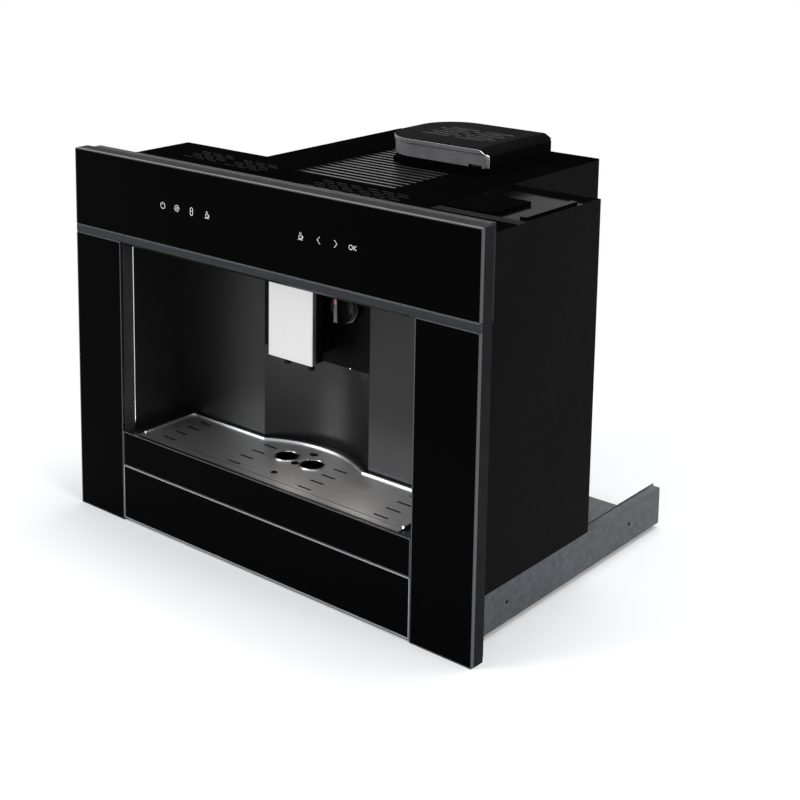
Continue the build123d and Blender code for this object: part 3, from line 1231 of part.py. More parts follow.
export_step(pump.part, "parts/pump.step")

PIPE_R = 4.0
ELBOW = 7.0  # half the side of a moulded elbow


def pipe(points):
    """Straight lengths of rigid pipe pushed into moulded elbows at the corners."""
    for start, end in zip(points, points[1:]):
        run = Vector(*end) - Vector(*start)
        with BuildSketch(Plane(origin=start, z_dir=run)) as ring:
            RegularPolygon(PIPE_R, 12)
        extrude(ring.sketch, amount=run.length)
    for corner in points[1:-1]:
        with Locations(corner):
            Box(2 * ELBOW, 2 * ELBOW, 2 * ELBOW)


PIPE_X = CORE_RIGHT - 16.0
with BuildPart() as suction_pipe:
    outlet_z = SOCKET_Z + 4.5
    pipe(
        [
            (TANK_OUTLET[0] - OUTLET_R - 4, back(TANK_OUTLET[1]), outlet_z),
            (PIPE_X, back(TANK_OUTLET[1]), outlet_z),
            (PIPE_X, back(TANK_OUTLET[1]), PUMP_Z),
            (PIPE_X, back(PUMP_D), PUMP_Z),
            (PUMP_X[1], back(PUMP_D), PUMP_Z),
        ]
    )
suction_pipe.part.label = "suction_pipe"
export_step(suction_pipe.part, "parts/suction_pipe.step")

with BuildPart() as pressure_pipe:
    rise = BOILER_Z[1] + 50
    pipe(
        [
            (BOILER_STUB_X, back(BOILER_D[0] + 20), BOILER_Z[1] + 12),
            (BOILER_STUB_X, back(BOILER_D[0] + 20), rise),
            (BOILER_STUB_X, back(BREW_BACK - 34), rise),
            (-BREW_HALF, back(BREW_BACK - 34), rise),
        ]
    )
pressure_pipe.part.label = "pressure_pipe"
export_step(pressure_pipe.part, "parts/pressure_pipe.step")

TANK_BOTTOM = DOCK_TOP + 0.3
TANK_WALL = 2.5
TANK_R = 8.0
GRIP_X = (TANK_RIGHT - TANK_GRIP - TANK_GRIP_W, TANK_RIGHT - TANK_GRIP)
LID_X = (TANK_LEFT + 1, GRIP_X[0] - LID_TO_GRIP)
LID_D = (TANK_LID_FRONT, TANK_LID_FRONT + TANK_LID_L)
LID_UNDER = TANK_TOP + 0.2
BARREL_R = 2.2
PIN_R = 1.2
LUG_W = 5.0
HINGE_D = LID_D[1] - BARREL_R
HINGE_Z = LID_UNDER + BARREL_R
with BuildPart() as water_tank:
    slab((TANK_LEFT, TANK_RIGHT), (TANK_FRONT, TANK_BACK), (TANK_BOTTOM, TANK_TOP), radius=TANK_R)
    slab(
        (TANK_LEFT + TANK_WALL, TANK_RIGHT - TANK_WALL),
        (TANK_FRONT + TANK_WALL, TANK_BACK - TANK_WALL),
        (TANK_BOTTOM + TANK_WALL, TANK_TOP - TANK_WALL),
        Mode.SUBTRACT,
    )
    # filler opening under the lid
    slab(
        (LID_X[0] + 5, LID_X[1] - 5),
        (LID_D[0] + 5, LID_D[1] - 9),
        (TANK_TOP - TANK_WALL, TANK_TOP),
        Mode.SUBTRACT,
    )
    # grip across the right of the top
    slab(
        GRIP_X,
        (TANK_FRONT + 20, TANK_BACK - 20),
        (TANK_TOP, TANK_TOP + 3),
    )
    # two lugs with the bores of the lid's pins
    for x_lug in (LID_X[0], LID_X[1] - LUG_W):
        slab((x_lug, x_lug + LUG_W), (HINGE_D - BARREL_R, HINGE_D + BARREL_R), (TANK_TOP, HINGE_Z))
        with BuildSketch(Plane.YZ.offset(x_lug)) as eye:
            with Locations((back(HINGE_D), HINGE_Z)):
                RegularPolygon(BARREL_R, 16)
        extrude(eye.sketch, amount=LUG_W)
        with BuildSketch(Plane.YZ.offset(x_lug)) as bore:
            with Locations((back(HINGE_D), HINGE_Z)):
                Circle(PIN_R + SHAFT_FIT)
        extrude(bore.sketch, amount=LUG_W, mode=Mode.SUBTRACT)
    post(*TANK_OUTLET, (SOCKET_Z + 3.5, TANK_BOTTOM + TANK_WALL), OUTLET_R, sides=12)
    post(*TANK_OUTLET, (SOCKET_Z + 3.5, TANK_BOTTOM + TANK_WALL), OUTLET_R - 2, Mode.SUBTRACT, sides=8)
water_tank.part.label = "water_tank"
export_step(water_tank.part, "parts/water_tank.step")

with BuildPart() as tank_lid:
    slab(LID_X, (LID_D[0], HINGE_D - BARREL_R - RUN_GAP), (LID_UNDER, LID_UNDER + TANK_LID_T))
    chamfer(tank_lid.edges().filter_by(Axis.Z).group_by(Axis.Y)[0].sort_by(Axis.X)[-1:], 14)
    chamfer(tank_lid.edges().filter_by(Axis.Z).group_by(Axis.Y)[0].sort_by(Axis.X)[:1], 4)
    chamfer(tank_lid.faces().sort_by(Axis.Z)[-1].edges(), 0.8)
    # neck, barrel and pins of the hinge
    slab(
        (LID_X[0] + LUG_W + RUN_GAP, LID_X[1] - LUG_W - RUN_GAP),
        (HINGE_D - BARREL_R - RUN_GAP, HINGE_D),
        (HINGE_Z - BARREL_R, HINGE_Z + BARREL_R - 0.6),
    )
    for first, last, radius in (
        (LID_X[0] + LUG_W + RUN_GAP, LID_X[1] - LUG_W - RUN_GAP, BARREL_R),
        (LID_X[0] + 1, LID_X[1] - 1, PIN_R),
    ):
        with BuildSketch(Plane.YZ.offset(first)) as end:
            with Locations((back(HINGE_D), HINGE_Z)):
                if radius == PIN_R:
                    Circle(radius)
                else:
                    RegularPolygon(radius, 16)
        extrude(end.sketch, amount=last - first)
tank_lid.part.label = "tank_lid"
export_step(tank_lid.part, "parts/tank_lid.step")

# ---------------------------------------------------------------- electrics
BOARD_D = LEFT_WING_BACK - SHEET - 10
BOARD_X = (-WING_HALF + 12, CORE_LEFT - 12)
with BuildPart() as power_board:
    slab(BOARD_X, (BOARD_D - 1.6, BOARD_D), (110, 340))
    for x_post in (BOARD_X[0] + 8, BOARD_X[1] - 8):
        for z_post in (120.0, 330.0):
            stud(x_post, z_post, (BOARD_D, LEFT_WING_BACK - SHEET), 4, sides=6)
    slab((BOARD_X[0] + 10, BOARD_X[0] + 50), (BOARD_D - 32, BOARD_D - 1.6), (130, 180))
    slab((BOARD_X[1] - 48, BOARD_X[1] - 18), (BOARD_D - 20, BOARD_D - 1.6), (130, 170))
    slab((BOARD_X[0] + 10, BOARD_X[0] + 40), (BOARD_D - 16, BOARD_D - 1.6), (210, 240))
    for z_cap in (215.0, 245.0):
        stud(BOARD_X[1] - 38, z_cap, (BOARD_D - 26, BOARD_D - 1.6), 9, sides=12)
    slab((BOARD_X[0] + 6, BOARD_X[1] - 8), (BOARD_D - 10, BOARD_D - 1.6), (300, 322))
power_board.part.label = "power_board"
export_step(power_board.part, "parts/power_board.step")

SWITCH_X = INLET_X + 18
SWITCH_W = 12.0
SWITCH_H = 20.0
ROCK_D = DEPTH - 5.0  # pivot of the rocker
ROCK_R = 1.5
ROCK_OUT = SWITCH_W / 2 + 2.0
with BuildPart() as power_inlet:
    slab(
        (INLET_X - INLET_W / 2 + 0.2, INLET_X + INLET_W / 2 - 0.2),
        (REAR_FACE - 24, REAR_FACE),
        (INLET_Z - INLET_H / 2 + 0.2, INLET_Z + INLET_H / 2 - 0.2),
    )
    slab(
        (INLET_X - INLET_W / 2 - 4, INLET_X + INLET_W / 2 + 4),
        (REAR_FACE, DEPTH),
        (INLET_Z - INLET_H / 2 - 3, INLET_Z + INLET_H / 2 + 3),
    )
    # socket for the lead, with its three pins
    slab((INLET_X - 26, INLET_X + 4), (DEPTH - 18, DEPTH), (INLET_Z - 11, INLET_Z + 11), Mode.SUBTRACT)
    for x_pin, z_pin in ((-18, -2), (-11, 3), (-4, -2)):
        slab(
            (INLET_X + x_pin - 1, INLET_X + x_pin + 1),
            (DEPTH - 18, DEPTH - 3),
            (INLET_Z + z_pin - 2, INLET_Z + z_pin + 2),
        )
    slab(
        (SWITCH_X - SWITCH_W / 2 - 0.4, SWITCH_X + SWITCH_W / 2 + 0.4),
        (DEPTH - 9, DEPTH),
        (INLET_Z - SWITCH_H / 2 - 1.2, INLET_Z + SWITCH_H / 2 + 1.2),
        Mode.SUBTRACT,
    )
    for side in (-1, 1):
        with BuildSketch(Plane.YZ.offset(SWITCH_X + min(side * ROCK_OUT, side * SWITCH_W / 2))) as bore:
            with Locations((back(ROCK_D), INLET_Z)):
                Circle(ROCK_R + SHAFT_FIT)
        extrude(bore.sketch, amount=ROCK_OUT - SWITCH_W / 2, mode=Mode.SUBTRACT)
power_inlet.part.label = "power_inlet"
export_step(power_inlet.part, "parts/power_inlet.step")

# rocker with a shallow V face and a round pivot through its middle
with BuildPart() as main_switch:
    with BuildSketch(Plane.YZ.offset(SWITCH_X - SWITCH_W / 2)):
        with BuildLine():
            Polyline(
                (back(DEPTH - 0.4), INLET_Z - SWITCH_H / 2),
                (back(DEPTH - 2.2), INLET_Z),
                (back(DEPTH - 0.4), INLET_Z + SWITCH_H / 2),
                (back(DEPTH - 4.5), INLET_Z + SWITCH_H / 2),
                (back(DEPTH - 8.6), INLET_Z),
                (back(DEPTH - 4.5), INLET_Z - SWITCH_H / 2),
                close=True,
            )
        make_face()
    extrude(amount=SWITCH_W)
    with BuildSketch(Plane.YZ.offset(SWITCH_X - ROCK_OUT + 0.4)) as pivot:
        with Locations((back(ROCK_D), INLET_Z)):
            Circle(ROCK_R)
    extrude(pivot.sketch, amount=2 * ROCK_OUT - 0.8)
main_switch.part.label = "main_switch"
export_step(main_switch.part, "parts/main_switch.step")
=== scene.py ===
from math import cos, pi, radians, sin

import bpy
from mathutils import Matrix, Vector


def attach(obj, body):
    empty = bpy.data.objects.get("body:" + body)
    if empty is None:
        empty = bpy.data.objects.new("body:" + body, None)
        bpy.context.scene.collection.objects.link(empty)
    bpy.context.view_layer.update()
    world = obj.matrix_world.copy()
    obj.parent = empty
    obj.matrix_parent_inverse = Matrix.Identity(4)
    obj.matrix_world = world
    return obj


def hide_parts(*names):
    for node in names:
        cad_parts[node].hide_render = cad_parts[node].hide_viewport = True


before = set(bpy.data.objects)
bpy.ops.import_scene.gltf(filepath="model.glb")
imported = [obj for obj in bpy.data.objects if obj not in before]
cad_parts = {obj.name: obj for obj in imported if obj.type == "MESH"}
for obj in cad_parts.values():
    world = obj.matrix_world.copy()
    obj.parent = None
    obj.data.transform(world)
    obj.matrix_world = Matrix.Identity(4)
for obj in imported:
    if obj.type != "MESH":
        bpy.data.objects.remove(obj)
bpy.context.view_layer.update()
bpy.ops.object.select_all(action="DESELECT")

DEPTH = 0.440  # front face to the heads of the rear screws
MM = 0.001


def back(depth):
    """Y of a point that lies this many millimetres behind the front face."""
    return depth * MM - DEPTH / 2


# ---------------------------------------------------------------- camera
camera = bpy.data.cameras.new("camera")
camera.lens = 68.36
camera.sensor_width = 36.0
camera.shift_x = 0.15
camera.shift_y = -0.35
camera_object = bpy.data.objects.new("camera", camera)
bpy.context.collection.objects.link(camera_object)
YAW, PITCH, ROLL = radians(-42.17), radians(-9.96), radians(0.15)
look = Vector((sin(YAW) * cos(PITCH), cos(YAW) * cos(PITCH), sin(PITCH)))
right = Vector((cos(YAW), -sin(YAW), 0.0))
up = right.cross(look)
right_rolled = cos(ROLL) * right + sin(ROLL) * up
up_rolled = -sin(ROLL) * right + cos(ROLL) * up
turn = Matrix((right_rolled, up_rolled, -look)).transposed().to_4x4()
camera_object.matrix_world = Matrix.Translation((1.0974, -1.3908, 0.8060)) @ turn
bpy.context.scene.camera = camera_object
bpy.context.scene.view_settings.view_transform = "Standard"


# ---------------------------------------------------------------- colours and nodes
def colour(hex_value):
    """Linear colour of an sRGB hex value."""
    parts = [int(hex_value[i : i + 2], 16) / 255 for i in (0, 2, 4)]
    return [p / 12.92 if p <= 0.04045 else ((p + 0.055) / 1.055) ** 2.4 for p in parts] + [1.0]


def add(tree, kind, values=None, links=None, **settings):
    """Adds a shader node with its settings, socket values and links."""
    made = tree.nodes.new(kind)
    for name, value in settings.items():
        setattr(made, name, value)
    for socket, value in (values or {}).items():
        made.inputs[socket].default_value = value
    for socket, source in (links or {}).items():
        tree.links.new(source, made.inputs[socket])
    return made


def surface(name, hex_value, roughness, metallic=0.0, **sockets):
    """New material with a plain surface, and the parts that a pattern is linked to."""
    material = bpy.data.materials.new(name)
    material.use_nodes = True
    tree = material.node_tree
    shader = tree.nodes["Principled BSDF"]
    values = {"Base Color": colour(hex_value), "Roughness": roughness, "Metallic": metallic}
    values.update({socket.replace("_", " "): value for socket, value in sockets.items()})
    for socket, value in values.items():
        shader.inputs[socket].default_value = value
    place = add(tree, "ShaderNodeTexCoord").outputs["Object"]
    material.diffuse_color = colour(hex_value)
    return material, tree, shader, place


def grain(tree, shader, place, size_mm, depth_mm, detail=2.0, scale=(1, 1, 1)):
    """Fine bump whose bumps are this far apart."""
    mapped = add(tree, "ShaderNodeMapping", {"Scale": scale}, {"Vector": place})
    noise = add(
        tree,
        "ShaderNodeTexNoise",
        {"Scale": 1000 / size_mm, "Detail": detail, "Roughness": 0.55},
        {"Vector": mapped.outputs["Vector"]},
    )
    bump = add(
        tree,
        "ShaderNodeBump",
        {"Strength": 1.0, "Distance": depth_mm * MM},
        {"Height": noise.outputs["Fac"]},
    )
    tree.links.new(bump.outputs["Normal"], shader.inputs["Normal"])
    return noise.outputs["Fac"]


def wander(tree, place, size_mm, low, high, detail=3.0, scale=(1, 1, 1)):
    """Number that wanders between two values over the surface."""
    mapped = add(tree, "ShaderNodeMapping", {"Scale": scale}, {"Vector": place})
    noise = add(
        tree,
        "ShaderNodeTexNoise",
        {"Scale": 1000 / size_mm, "Detail": detail},
        {"Vector": mapped.outputs["Vector"]},
    )
    spread = add(
        tree,
        "ShaderNodeMapRange",
        {"From Min": 0.3, "From Max": 0.7, "To Min": low, "To Max": high},
        {"Value": noise.outputs["Fac"]},
    )
    return spread.outputs["Result"]


def shade_between(tree, shader, factor, dark, light):
    """Base colour that runs between two hex values."""
    mix = add(
        tree,
        "ShaderNodeMix",
        links={"Factor": factor},
        data_type="RGBA",
    )
    mix.inputs["A"].default_value = colour(dark)
    mix.inputs["B"].default_value = colour(light)
    tree.links.new(mix.outputs["Result"], shader.inputs["Base Color"])


def to_roughness(tree, shader, value):
    tree.links.new(value, shader.inputs["Roughness"])


# ---------------------------------------------------------------- materials
def black_printed_glass():
    """Float glass printed black on its back: near black, with a very slight unevenness in its gloss."""
    material, tree, shader, place = surface("black_printed_glass", "030303", 0.06, Specular_IOR_Level=0.012)
    to_roughness(tree, shader, wander(tree, place, 60, 0.04, 0.09))
    return material


def anodised_edge(name="anodised_edge", tone="56585B"):
    """Aluminium profile, brushed along its length and anodised: fine line that breaks up in reflections."""
    material, tree, shader, place = surface(name, tone, 0.28, 1.0)
    to_roughness(tree, shader, wander(tree, place, 3, 0.24, 0.38))
    grain(tree, shader, place, 0.5, 0.004)
    return material


def polished_bead():
    """Bright-rolled aluminium bead: smooth and nearly white where it faces the light."""
    material, tree, shader, place = surface("polished_bead", "E2E3E5", 0.16, 1.0)
    to_roughness(tree, shader, wander(tree, place, 14, 0.12, 0.2))
    return material


def satin_bar():
    """Dark anodised aluminium bar, brushed lengthways: a soft grey sheen with fine streaks."""
    material, tree, shader, place = surface("satin_bar", "36373A", 0.4, 1.0)
    streak = wander(tree, place, 2.0, 0.0, 1.0, scale=(0.02, 1, 1))
    shade_between(tree, shader, streak, "333437", "3D3E41")
    to_roughness(tree, shader, wander(tree, place, 1.2, 0.32, 0.46, scale=(0.02, 1, 1)))
    return material


def moulded_black(
    name="moulded_black", dark="0A0A0B", light="0F0F10", rough=0.42, grit=0.6, depth=0.012, gloss=0.12
):
    """Injection-moulded plastic with a spark-eroded grain: matte, slightly lighter where light grazes it."""
    material, tree, shader, place = surface(name, dark, rough, Specular_IOR_Level=gloss)
    shade_between(tree, shader, wander(tree, place, 25, 0.0, 1.0), dark, light)
    to_roughness(tree, shader, wander(tree, place, 4, rough - 0.05, rough + 0.07))
    grain(tree, shader, place, grit, depth)
    return material


def powder_coat(name="powder_coat", dark="0E0E0F", light="121213", gloss=0.015):
    """Steel sheet with black powder coat: low orange peel about 1.5 mm apart and a satin sheen."""
    material, tree, shader, place = surface(name, dark, 0.45, Specular_IOR_Level=gloss)
    shade_between(tree, shader, wander(tree, place, 140, 0.0, 1.0), dark, light)
    to_roughness(tree, shader, wander(tree, place, 8, 0.4, 0.52))
    grain(tree, shader, place, 1.5, 0.012)
    return material


def brushed_stainless(name="brushed_stainless", along=(0.02, 1, 1), dark="8E8F91", light="A2A3A5", rough=0.32):
    """Stainless sheet brushed one way: streaks about 0.6 mm apart, drawn coarse enough to show."""
    material, tree, shader, place = surface(name, light, rough, 1.0)
    shade_between(tree, shader, wander(tree, place, 1.2, 0.0, 1.0, 4.0, along), dark, light)
    to_roughness(tree, shader, wander(tree, place, 1.0, rough - 0.04, rough + 0.06, 4.0, along))
    grain(tree, shader, place, 0.6, 0.002, 4.0, along)
    return material


def zinc_plate():
    """Zinc-plated steel: cool grey metal with faint spangles about 6 mm across."""
    material, tree, shader, place = surface("zinc_plate", "4E5256", 0.36, 1.0)
    cells = add(tree, "ShaderNodeTexVoronoi", {"Scale": 160.0}, {"Vector": place})
    tone = add(
        tree,
        "ShaderNodeMapRange",
        {"To Min": 0.0, "To Max": 1.0},
        {"Value": cells.outputs["Color"]},
    )
    shade_between(tree, shader, tone.outputs["Result"], "474A4E", "575B60")
    to_roughness(tree, shader, wander(tree, place, 5, 0.28, 0.46))
    return material


def chrome_plate():
    """Chrome on plastic: mirror bright, with hardly any waviness."""
    material, tree, shader, place = surface("chrome_plate", "E4E5E7", 0.06, 1.0)
    to_roughness(tree, shader, wander(tree, place, 3, 0.04, 0.09))
    return material


def frosted_lens():
    """Frosted polycarbonate lens in front of a lamp."""
    material, tree, shader, place = surface("frosted_lens", "E9ECEE", 0.45)
    shader.inputs["Emission Color"].default_value = colour("FFF9F0")
    shader.inputs["Emission Strength"].default_value = 46.0
    grain(tree, shader, place, 0.5, 0.01)
    return material


def circuit_board():
    """Green solder mask over copper tracks: fine lighter tracks on dark green."""
    material, tree, shader, place = surface("circuit_board", "1C4A2C", 0.35)
    bricks = add(
        tree,
        "ShaderNodeTexBrick",
        {
            "Scale": 90.0,
            "Mortar Size": 0.04,
            "Color1": colour("17422A"),
            "Color2": colour("1D4D31"),
            "Mortar": colour("3C7A50"),
        },
        {"Vector": place},
    )
    tree.links.new(bricks.outputs["Color"], shader.inputs["Base Color"])
    grain(tree, shader, place, 2.0, 0.02)
    return material


def cast_aluminium():
    """Sand-blasted aluminium casting: dull grey with a coarse skin."""
    material, tree, shader, place = surface("cast_aluminium", "A3A5A7", 0.5, 1.0)
    to_roughness(tree, shader, wander(tree, place, 6, 0.42, 0.62))
    grain(tree, shader, place, 0.8, 0.05)
    return material


def smoky_tank():
    """Smoky clear moulded tank: dark, glossy, with a little light let through."""
    material, tree, shader, place = surface(
        "smoky_tank", "050506", 0.34, Transmission_Weight=0.02, IOR=1.45, Specular_IOR_Level=0.01
    )
    to_roughness(tree, shader, wander(tree, place, 20, 0.09, 0.17))
    return material


def brass_turned():
    """Turned brass: warm metal with fine tool rings."""
    material, tree, shader, place = surface("brass_turned", "C49A56", 0.3, 1.0)
    to_roughness(tree, shader, wander(tree, place, 1.5, 0.22, 0.4))
    return material


def milky_pipe():
    """Extruded milky polyethylene pipe and elbows: pale, soft sheen, slightly see-through."""
    material, tree, shader, place = surface("milky_pipe", "D8D8D2", 0.4, Subsurface_Weight=0.3)
    shader.inputs["Subsurface Radius"].default_value = (0.004, 0.004, 0.004)
    to_roughness(tree, shader, wander(tree, place, 5, 0.34, 0.48))
    grain(tree, shader, place, 1.5, 0.01)
    return material


def black_rubber():
    """Moulded rubber: deep matte black with a faint bloom."""
    material, tree, shader, place = surface("black_rubber", "141414", 0.75, Specular_IOR_Level=0.2)
    shade_between(tree, shader, wander(tree, place, 6, 0.0, 1.0), "101010", "1C1C1C")
    grain(tree, shader, place, 0.5, 0.02)
    return material


def painted_can():
    """Dark enamel on a drawn steel can."""
    material, tree, shader, place = surface("painted_can", "2A2B2E", 0.4)
    to_roughness(tree, shader, wander(tree, place, 6, 0.32, 0.5))
    grain(tree, shader, place, 1.2, 0.01)
    return material


def red_plastic(name="red_plastic", tone="B3241C"):
    """Moulded red polypropylene: waxy and slightly uneven."""
    material, tree, shader, place = surface(name, tone, 0.35)
    to_roughness(tree, shader, wander(tree, place, 4, 0.3, 0.42))
    grain(tree, shader, place, 0.8, 0.01)
    return material


def lit_sign():
    """White light through the back print of the glass."""
    material, tree, shader, place = surface("lit_sign", "C8CCD0", 0.4)
    shader.inputs["Emission Color"].default_value = colour("DDE2E8")
    shader.inputs["Emission Strength"].default_value = 0.35
    grain(tree, shader, place, 0.8, 0.002)
    return material


GLASS = black_printed_glass()
EDGE = anodised_edge()
EDGE_PAINTED_HIGHLIGHT = anodised_edge("edge_painted_highlight", "A6A8AB")  # painted highlight: lighter copy of the anodised edge where it faces the light
BEAD = polished_bead()
BAR = satin_bar()
MOULDED = moulded_black()
HEAD_PAINTED_SHADE = moulded_black("head_painted_shade", "050506", "09090A", 0.36, 0.8, 0.006, 0.05)  # painted shade: deeper black for the head, which sits in shade
FRAME = moulded_black("frame_moulding", "131314", "18181A", 0.48, 0.6, 0.01, 0.03)
PALE_PAINTED_LIGHT = moulded_black("pale_painted_light", "2E2E30", "363638", 0.4, 0.8, 0.004, 0.12)  # painted light: paler tone for the bay's mouth and the lid's vent walls
LINER = moulded_black("liner_moulding", "111112", "141415", 0.34, 1.6, 0.0005, 0.4)  # satin, picks up the lamps
PAN = moulded_black("pan_moulding", "121213", "171718", 0.55, 0.7, 0.01, 0.0)
LID_TOP = moulded_black("lid_moulding", "040405", "060607", 0.5, 0.8, 0.006, 0.004)
SKIRT_PAINTED_SHEEN = moulded_black("skirt_painted_sheen", "5E5E60", "6C6C6E", 0.28, 0.8, 0.004, 0.3)  # painted sheen: grey on the front faces of the lid
COAT = powder_coat("powder_coat", "0B0B0C", "0E0E0F", 0.01)
TOP_COAT = powder_coat("matt_powder_coat", "040404", "060606", 0.0)
STEEL = brushed_stainless()
SPOUT_STEEL = brushed_stainless("spout_stainless", (1, 1, 0.02), "DFDFE0", "E5E5E6", 0.42)
# polished rim of the grille and the cup-hole lips, also used as a painted glint on the lid's plastic corner
RIM_AND_PAINTED_GLINT = brushed_stainless("polished_rim_and_painted_glint", (1, 1, 1), "D4D5D7", "DDDEE0", 0.2)
GRILLE = brushed_stainless("grille_stainless", (0.02, 1, 1), "B9BABC", "CACBCD", 0.38)
SLOT_PAINTED_SHADE = moulded_black("slot_wall_painted_shade", "0A0A0A", "111111", 0.5, 0.8, 0.004, 0.05)  # painted shade: the steel's cut edges coloured near black
PAINTED_HIGHLIGHT_LINE = moulded_black("painted_highlight_line", "2C2C2E", "3A3A3C", 0.3, 0.8, 0.002, 0.2)  # painted highlight: lighter line on rib tops and vent bars
# painted highlight, dimmer: lighter lines in the top cover's vents
DIM_PAINTED_HIGHLIGHT = moulded_black("dim_painted_highlight", "19191A", "212122", 0.4, 0.8, 0.002, 0.08)
# painted highlight: grey tone for the lit front of the grip bar
GRIP_PAINTED_HIGHLIGHT = moulded_black("grip_painted_highlight", "6A6B6D", "77787A", 0.32, 0.8, 0.003, 0.4)
ZINC = zinc_plate()
CHROME = chrome_plate()
LENS = frosted_lens()
BOARD = circuit_board()
CAST = cast_aluminium()
TANK = smoky_tank()
BRASS = brass_turned()
MILKY = milky_pipe()
RUBBER = black_rubber()
CAN = painted_can()
RED = red_plastic()
MARK = red_plastic("pink_mark", "D98A90")  # pale red mark in the grip
SIGN = lit_sign()
GREY = moulded_black("grey_moulding", "6E7072", "7A7C7E", 0.4, 0.7, 0.01, 0.5)
FILLER = moulded_black("filler_moulding", "050505", "070707", 0.5, 0.7, 0.008, 0.0)
ROCKER = moulded_black("rocker_moulding", "0A0A0A", "0E0E0E", 0.18, 0.8, 0.003, 0.4)

WEARS = {
    GLASS: [
        "control_glass",
        "column_glass_left",
        "column_glass_right",
        "tray_front_glass",
        "drawer_front_glass",
    ],
    EDGE: ["fascia_trim", "column_trims", "tray_front_trim"],
    EDGE_PAINTED_HIGHLIGHT: ["drawer_front_trim"],
    BEAD: ["bay_bead"],
    BAR: ["satin_bar"],
    FRAME: ["front_frame"],
    MOULDED: ["control_box", "spout_body", "spout_outlets", "power_inlet", "grounds_drawer", "knob"],
    HEAD_PAINTED_SHADE: ["brew_head"],
    PAN: ["ribbed_pan"],
    LINER: ["bay_liner", "drip_tray"],
    LID_TOP: ["bean_lid", "bean_hopper"],
    COAT: ["left_cover", "right_cover", "rear_cover"],
    TOP_COAT: ["top_cover"],
    STEEL: ["grinder_burr"],
    GRILLE: ["drip_grille"],
    SPOUT_STEEL: ["spout_cover"],
    ZINC: [
        "base_plate",
        "runners_inner",
        "runner_middle_left",
        "runner_middle_right",
        "runner_outer_left",
        "runner_outer_right",
        "rear_screws",
        "knob_shaft",
        "grinder_shelf",
    ],
    CHROME: ["knob_ring"],
    LENS: ["lamp_lenses"],
    BOARD: ["control_board", "power_board"],
    CAST: ["boiler"],
    TANK: ["water_tank"],
    BRASS: ["hot_water_valve"],
    MILKY: ["suction_pipe", "pressure_pipe"],
    RUBBER: ["rubber_feet"],
    CAN: ["grinder_motor", "pump"],
    RED: ["tray_float"],
    GREY: ["grinder_housing", "brew_unit", "brew_piston", "grounds_bin", "grind_dial"],
    FILLER: ["tank_lid"],
    ROCKER: ["main_switch"],
}
for material, names in WEARS.items():
    for name in names:
        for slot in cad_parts[name].material_slots:
            slot.material = material


# ---------------------------------------------------------------- floor, backdrop and lights
def white_stage():
    """Pale matte floor that keeps the object's shadow and runs into the white backdrop further out."""
    material, tree, shader, place = surface("pale_floor", "F0F0F0", 0.9, Specular_IOR_Level=0.0)
    distance = add(tree, "ShaderNodeVectorMath", links={0: place}, operation="LENGTH")
    outward = add(
        tree,
        "ShaderNodeMapRange",
        {"From Min": 0.3, "From Max": 0.75},
        {"Value": distance.outputs["Value"]},
        interpolation_type="SMOOTHSTEP",
    )
    path = add(tree, "ShaderNodeLightPath")
    straight = add(
        tree,
        "ShaderNodeMath",
        links={0: path.outputs["Is Camera Ray"], 1: path.outputs["Is Glossy Ray"]},
        operation="MAXIMUM",
    )
    through = add(
        tree,
        "ShaderNodeMath",
        links={0: straight.outputs[0], 1: path.outputs["Is Transmission Ray"]},
        operation="MAXIMUM",
    )
    share = add(
        tree,
        "ShaderNodeMath",
        links={0: outward.outputs["Result"], 1: through.outputs[0]},
        operation="MULTIPLY",
    )
    backdrop = add(tree, "ShaderNodeEmission", {"Color": (1, 1, 1, 1), "Strength": 1.0})
    blend = add(
        tree,
        "ShaderNodeMixShader",
        links={0: share.outputs[0], 1: shader.outputs[0], 2: backdrop.outputs[0]},
    )
    tree.links.new(blend.outputs[0], tree.nodes["Material Output"].inputs["Surface"])
    return material


bpy.ops.mesh.primitive_plane_add(size=14, location=(0, 0, 0))
floor = bpy.context.object
floor.name = "floor"
floor.data.materials.append(white_stage())

world = bpy.data.worlds.new("studio")
bpy.context.scene.world = world
world.use_nodes = True
sky = world.node_tree
light_path = add(sky, "ShaderNodeLightPath")
seen = add(
    sky,
    "ShaderNodeMath",
    links={0: light_path.outputs["Is Camera Ray"], 1: light_path.outputs["Is Glossy Ray"]},
    operation="MAXIMUM",
)
seen_through = add(
    sky,
    "ShaderNodeMath",
    links={0: seen.outputs[0], 1: light_path.outputs["Is Transmission Ray"]},
    operation="MAXIMUM",
)
white = add(sky, "ShaderNodeBackground", {"Color": (1, 1, 1, 1), "Strength": 1.0})
soft = add(sky, "ShaderNodeBackground", {"Color": (0.95, 0.97, 1, 1), "Strength": 0.45})
both = add(
    sky,
    "ShaderNodeMixShader",
    links={0: seen_through.outputs[0], 1: soft.outputs[0], 2: white.outputs[0]},
)
sky.links.new(both.outputs[0], sky.nodes["World Output"].inputs["Surface"])


def soft_box(name, place, aim, size, power):
    """Square studio light turned to a point."""
    lamp = bpy.data.lights.new(name, "AREA")
    lamp.size = size
    lamp.energy = power
    holder = bpy.data.objects.new(name, lamp)
    bpy.context.collection.objects.link(holder)
    holder.matrix_world = Matrix.Translation(place) @ (
        (Vector(aim) - Vector(place)).to_track_quat("-Z", "Y").to_matrix().to_4x4()
    )
    return holder


soft_box("key_light", (-1.6, -2.2, 2.2), (0, 0, 0.2), 1.6, 70)
soft_box("side_light", (2.4, -0.4, 1.6), (0, 0, 0.25), 1.4, 40)
soft_box("top_light", (0.3, 0.6, 2.6), (0, 0.1, 0.4), 1.6, 40)


# ---------------------------------------------------------------- tools of the bench
def deselect():
    bpy.ops.object.select_all(action="DESELECT")


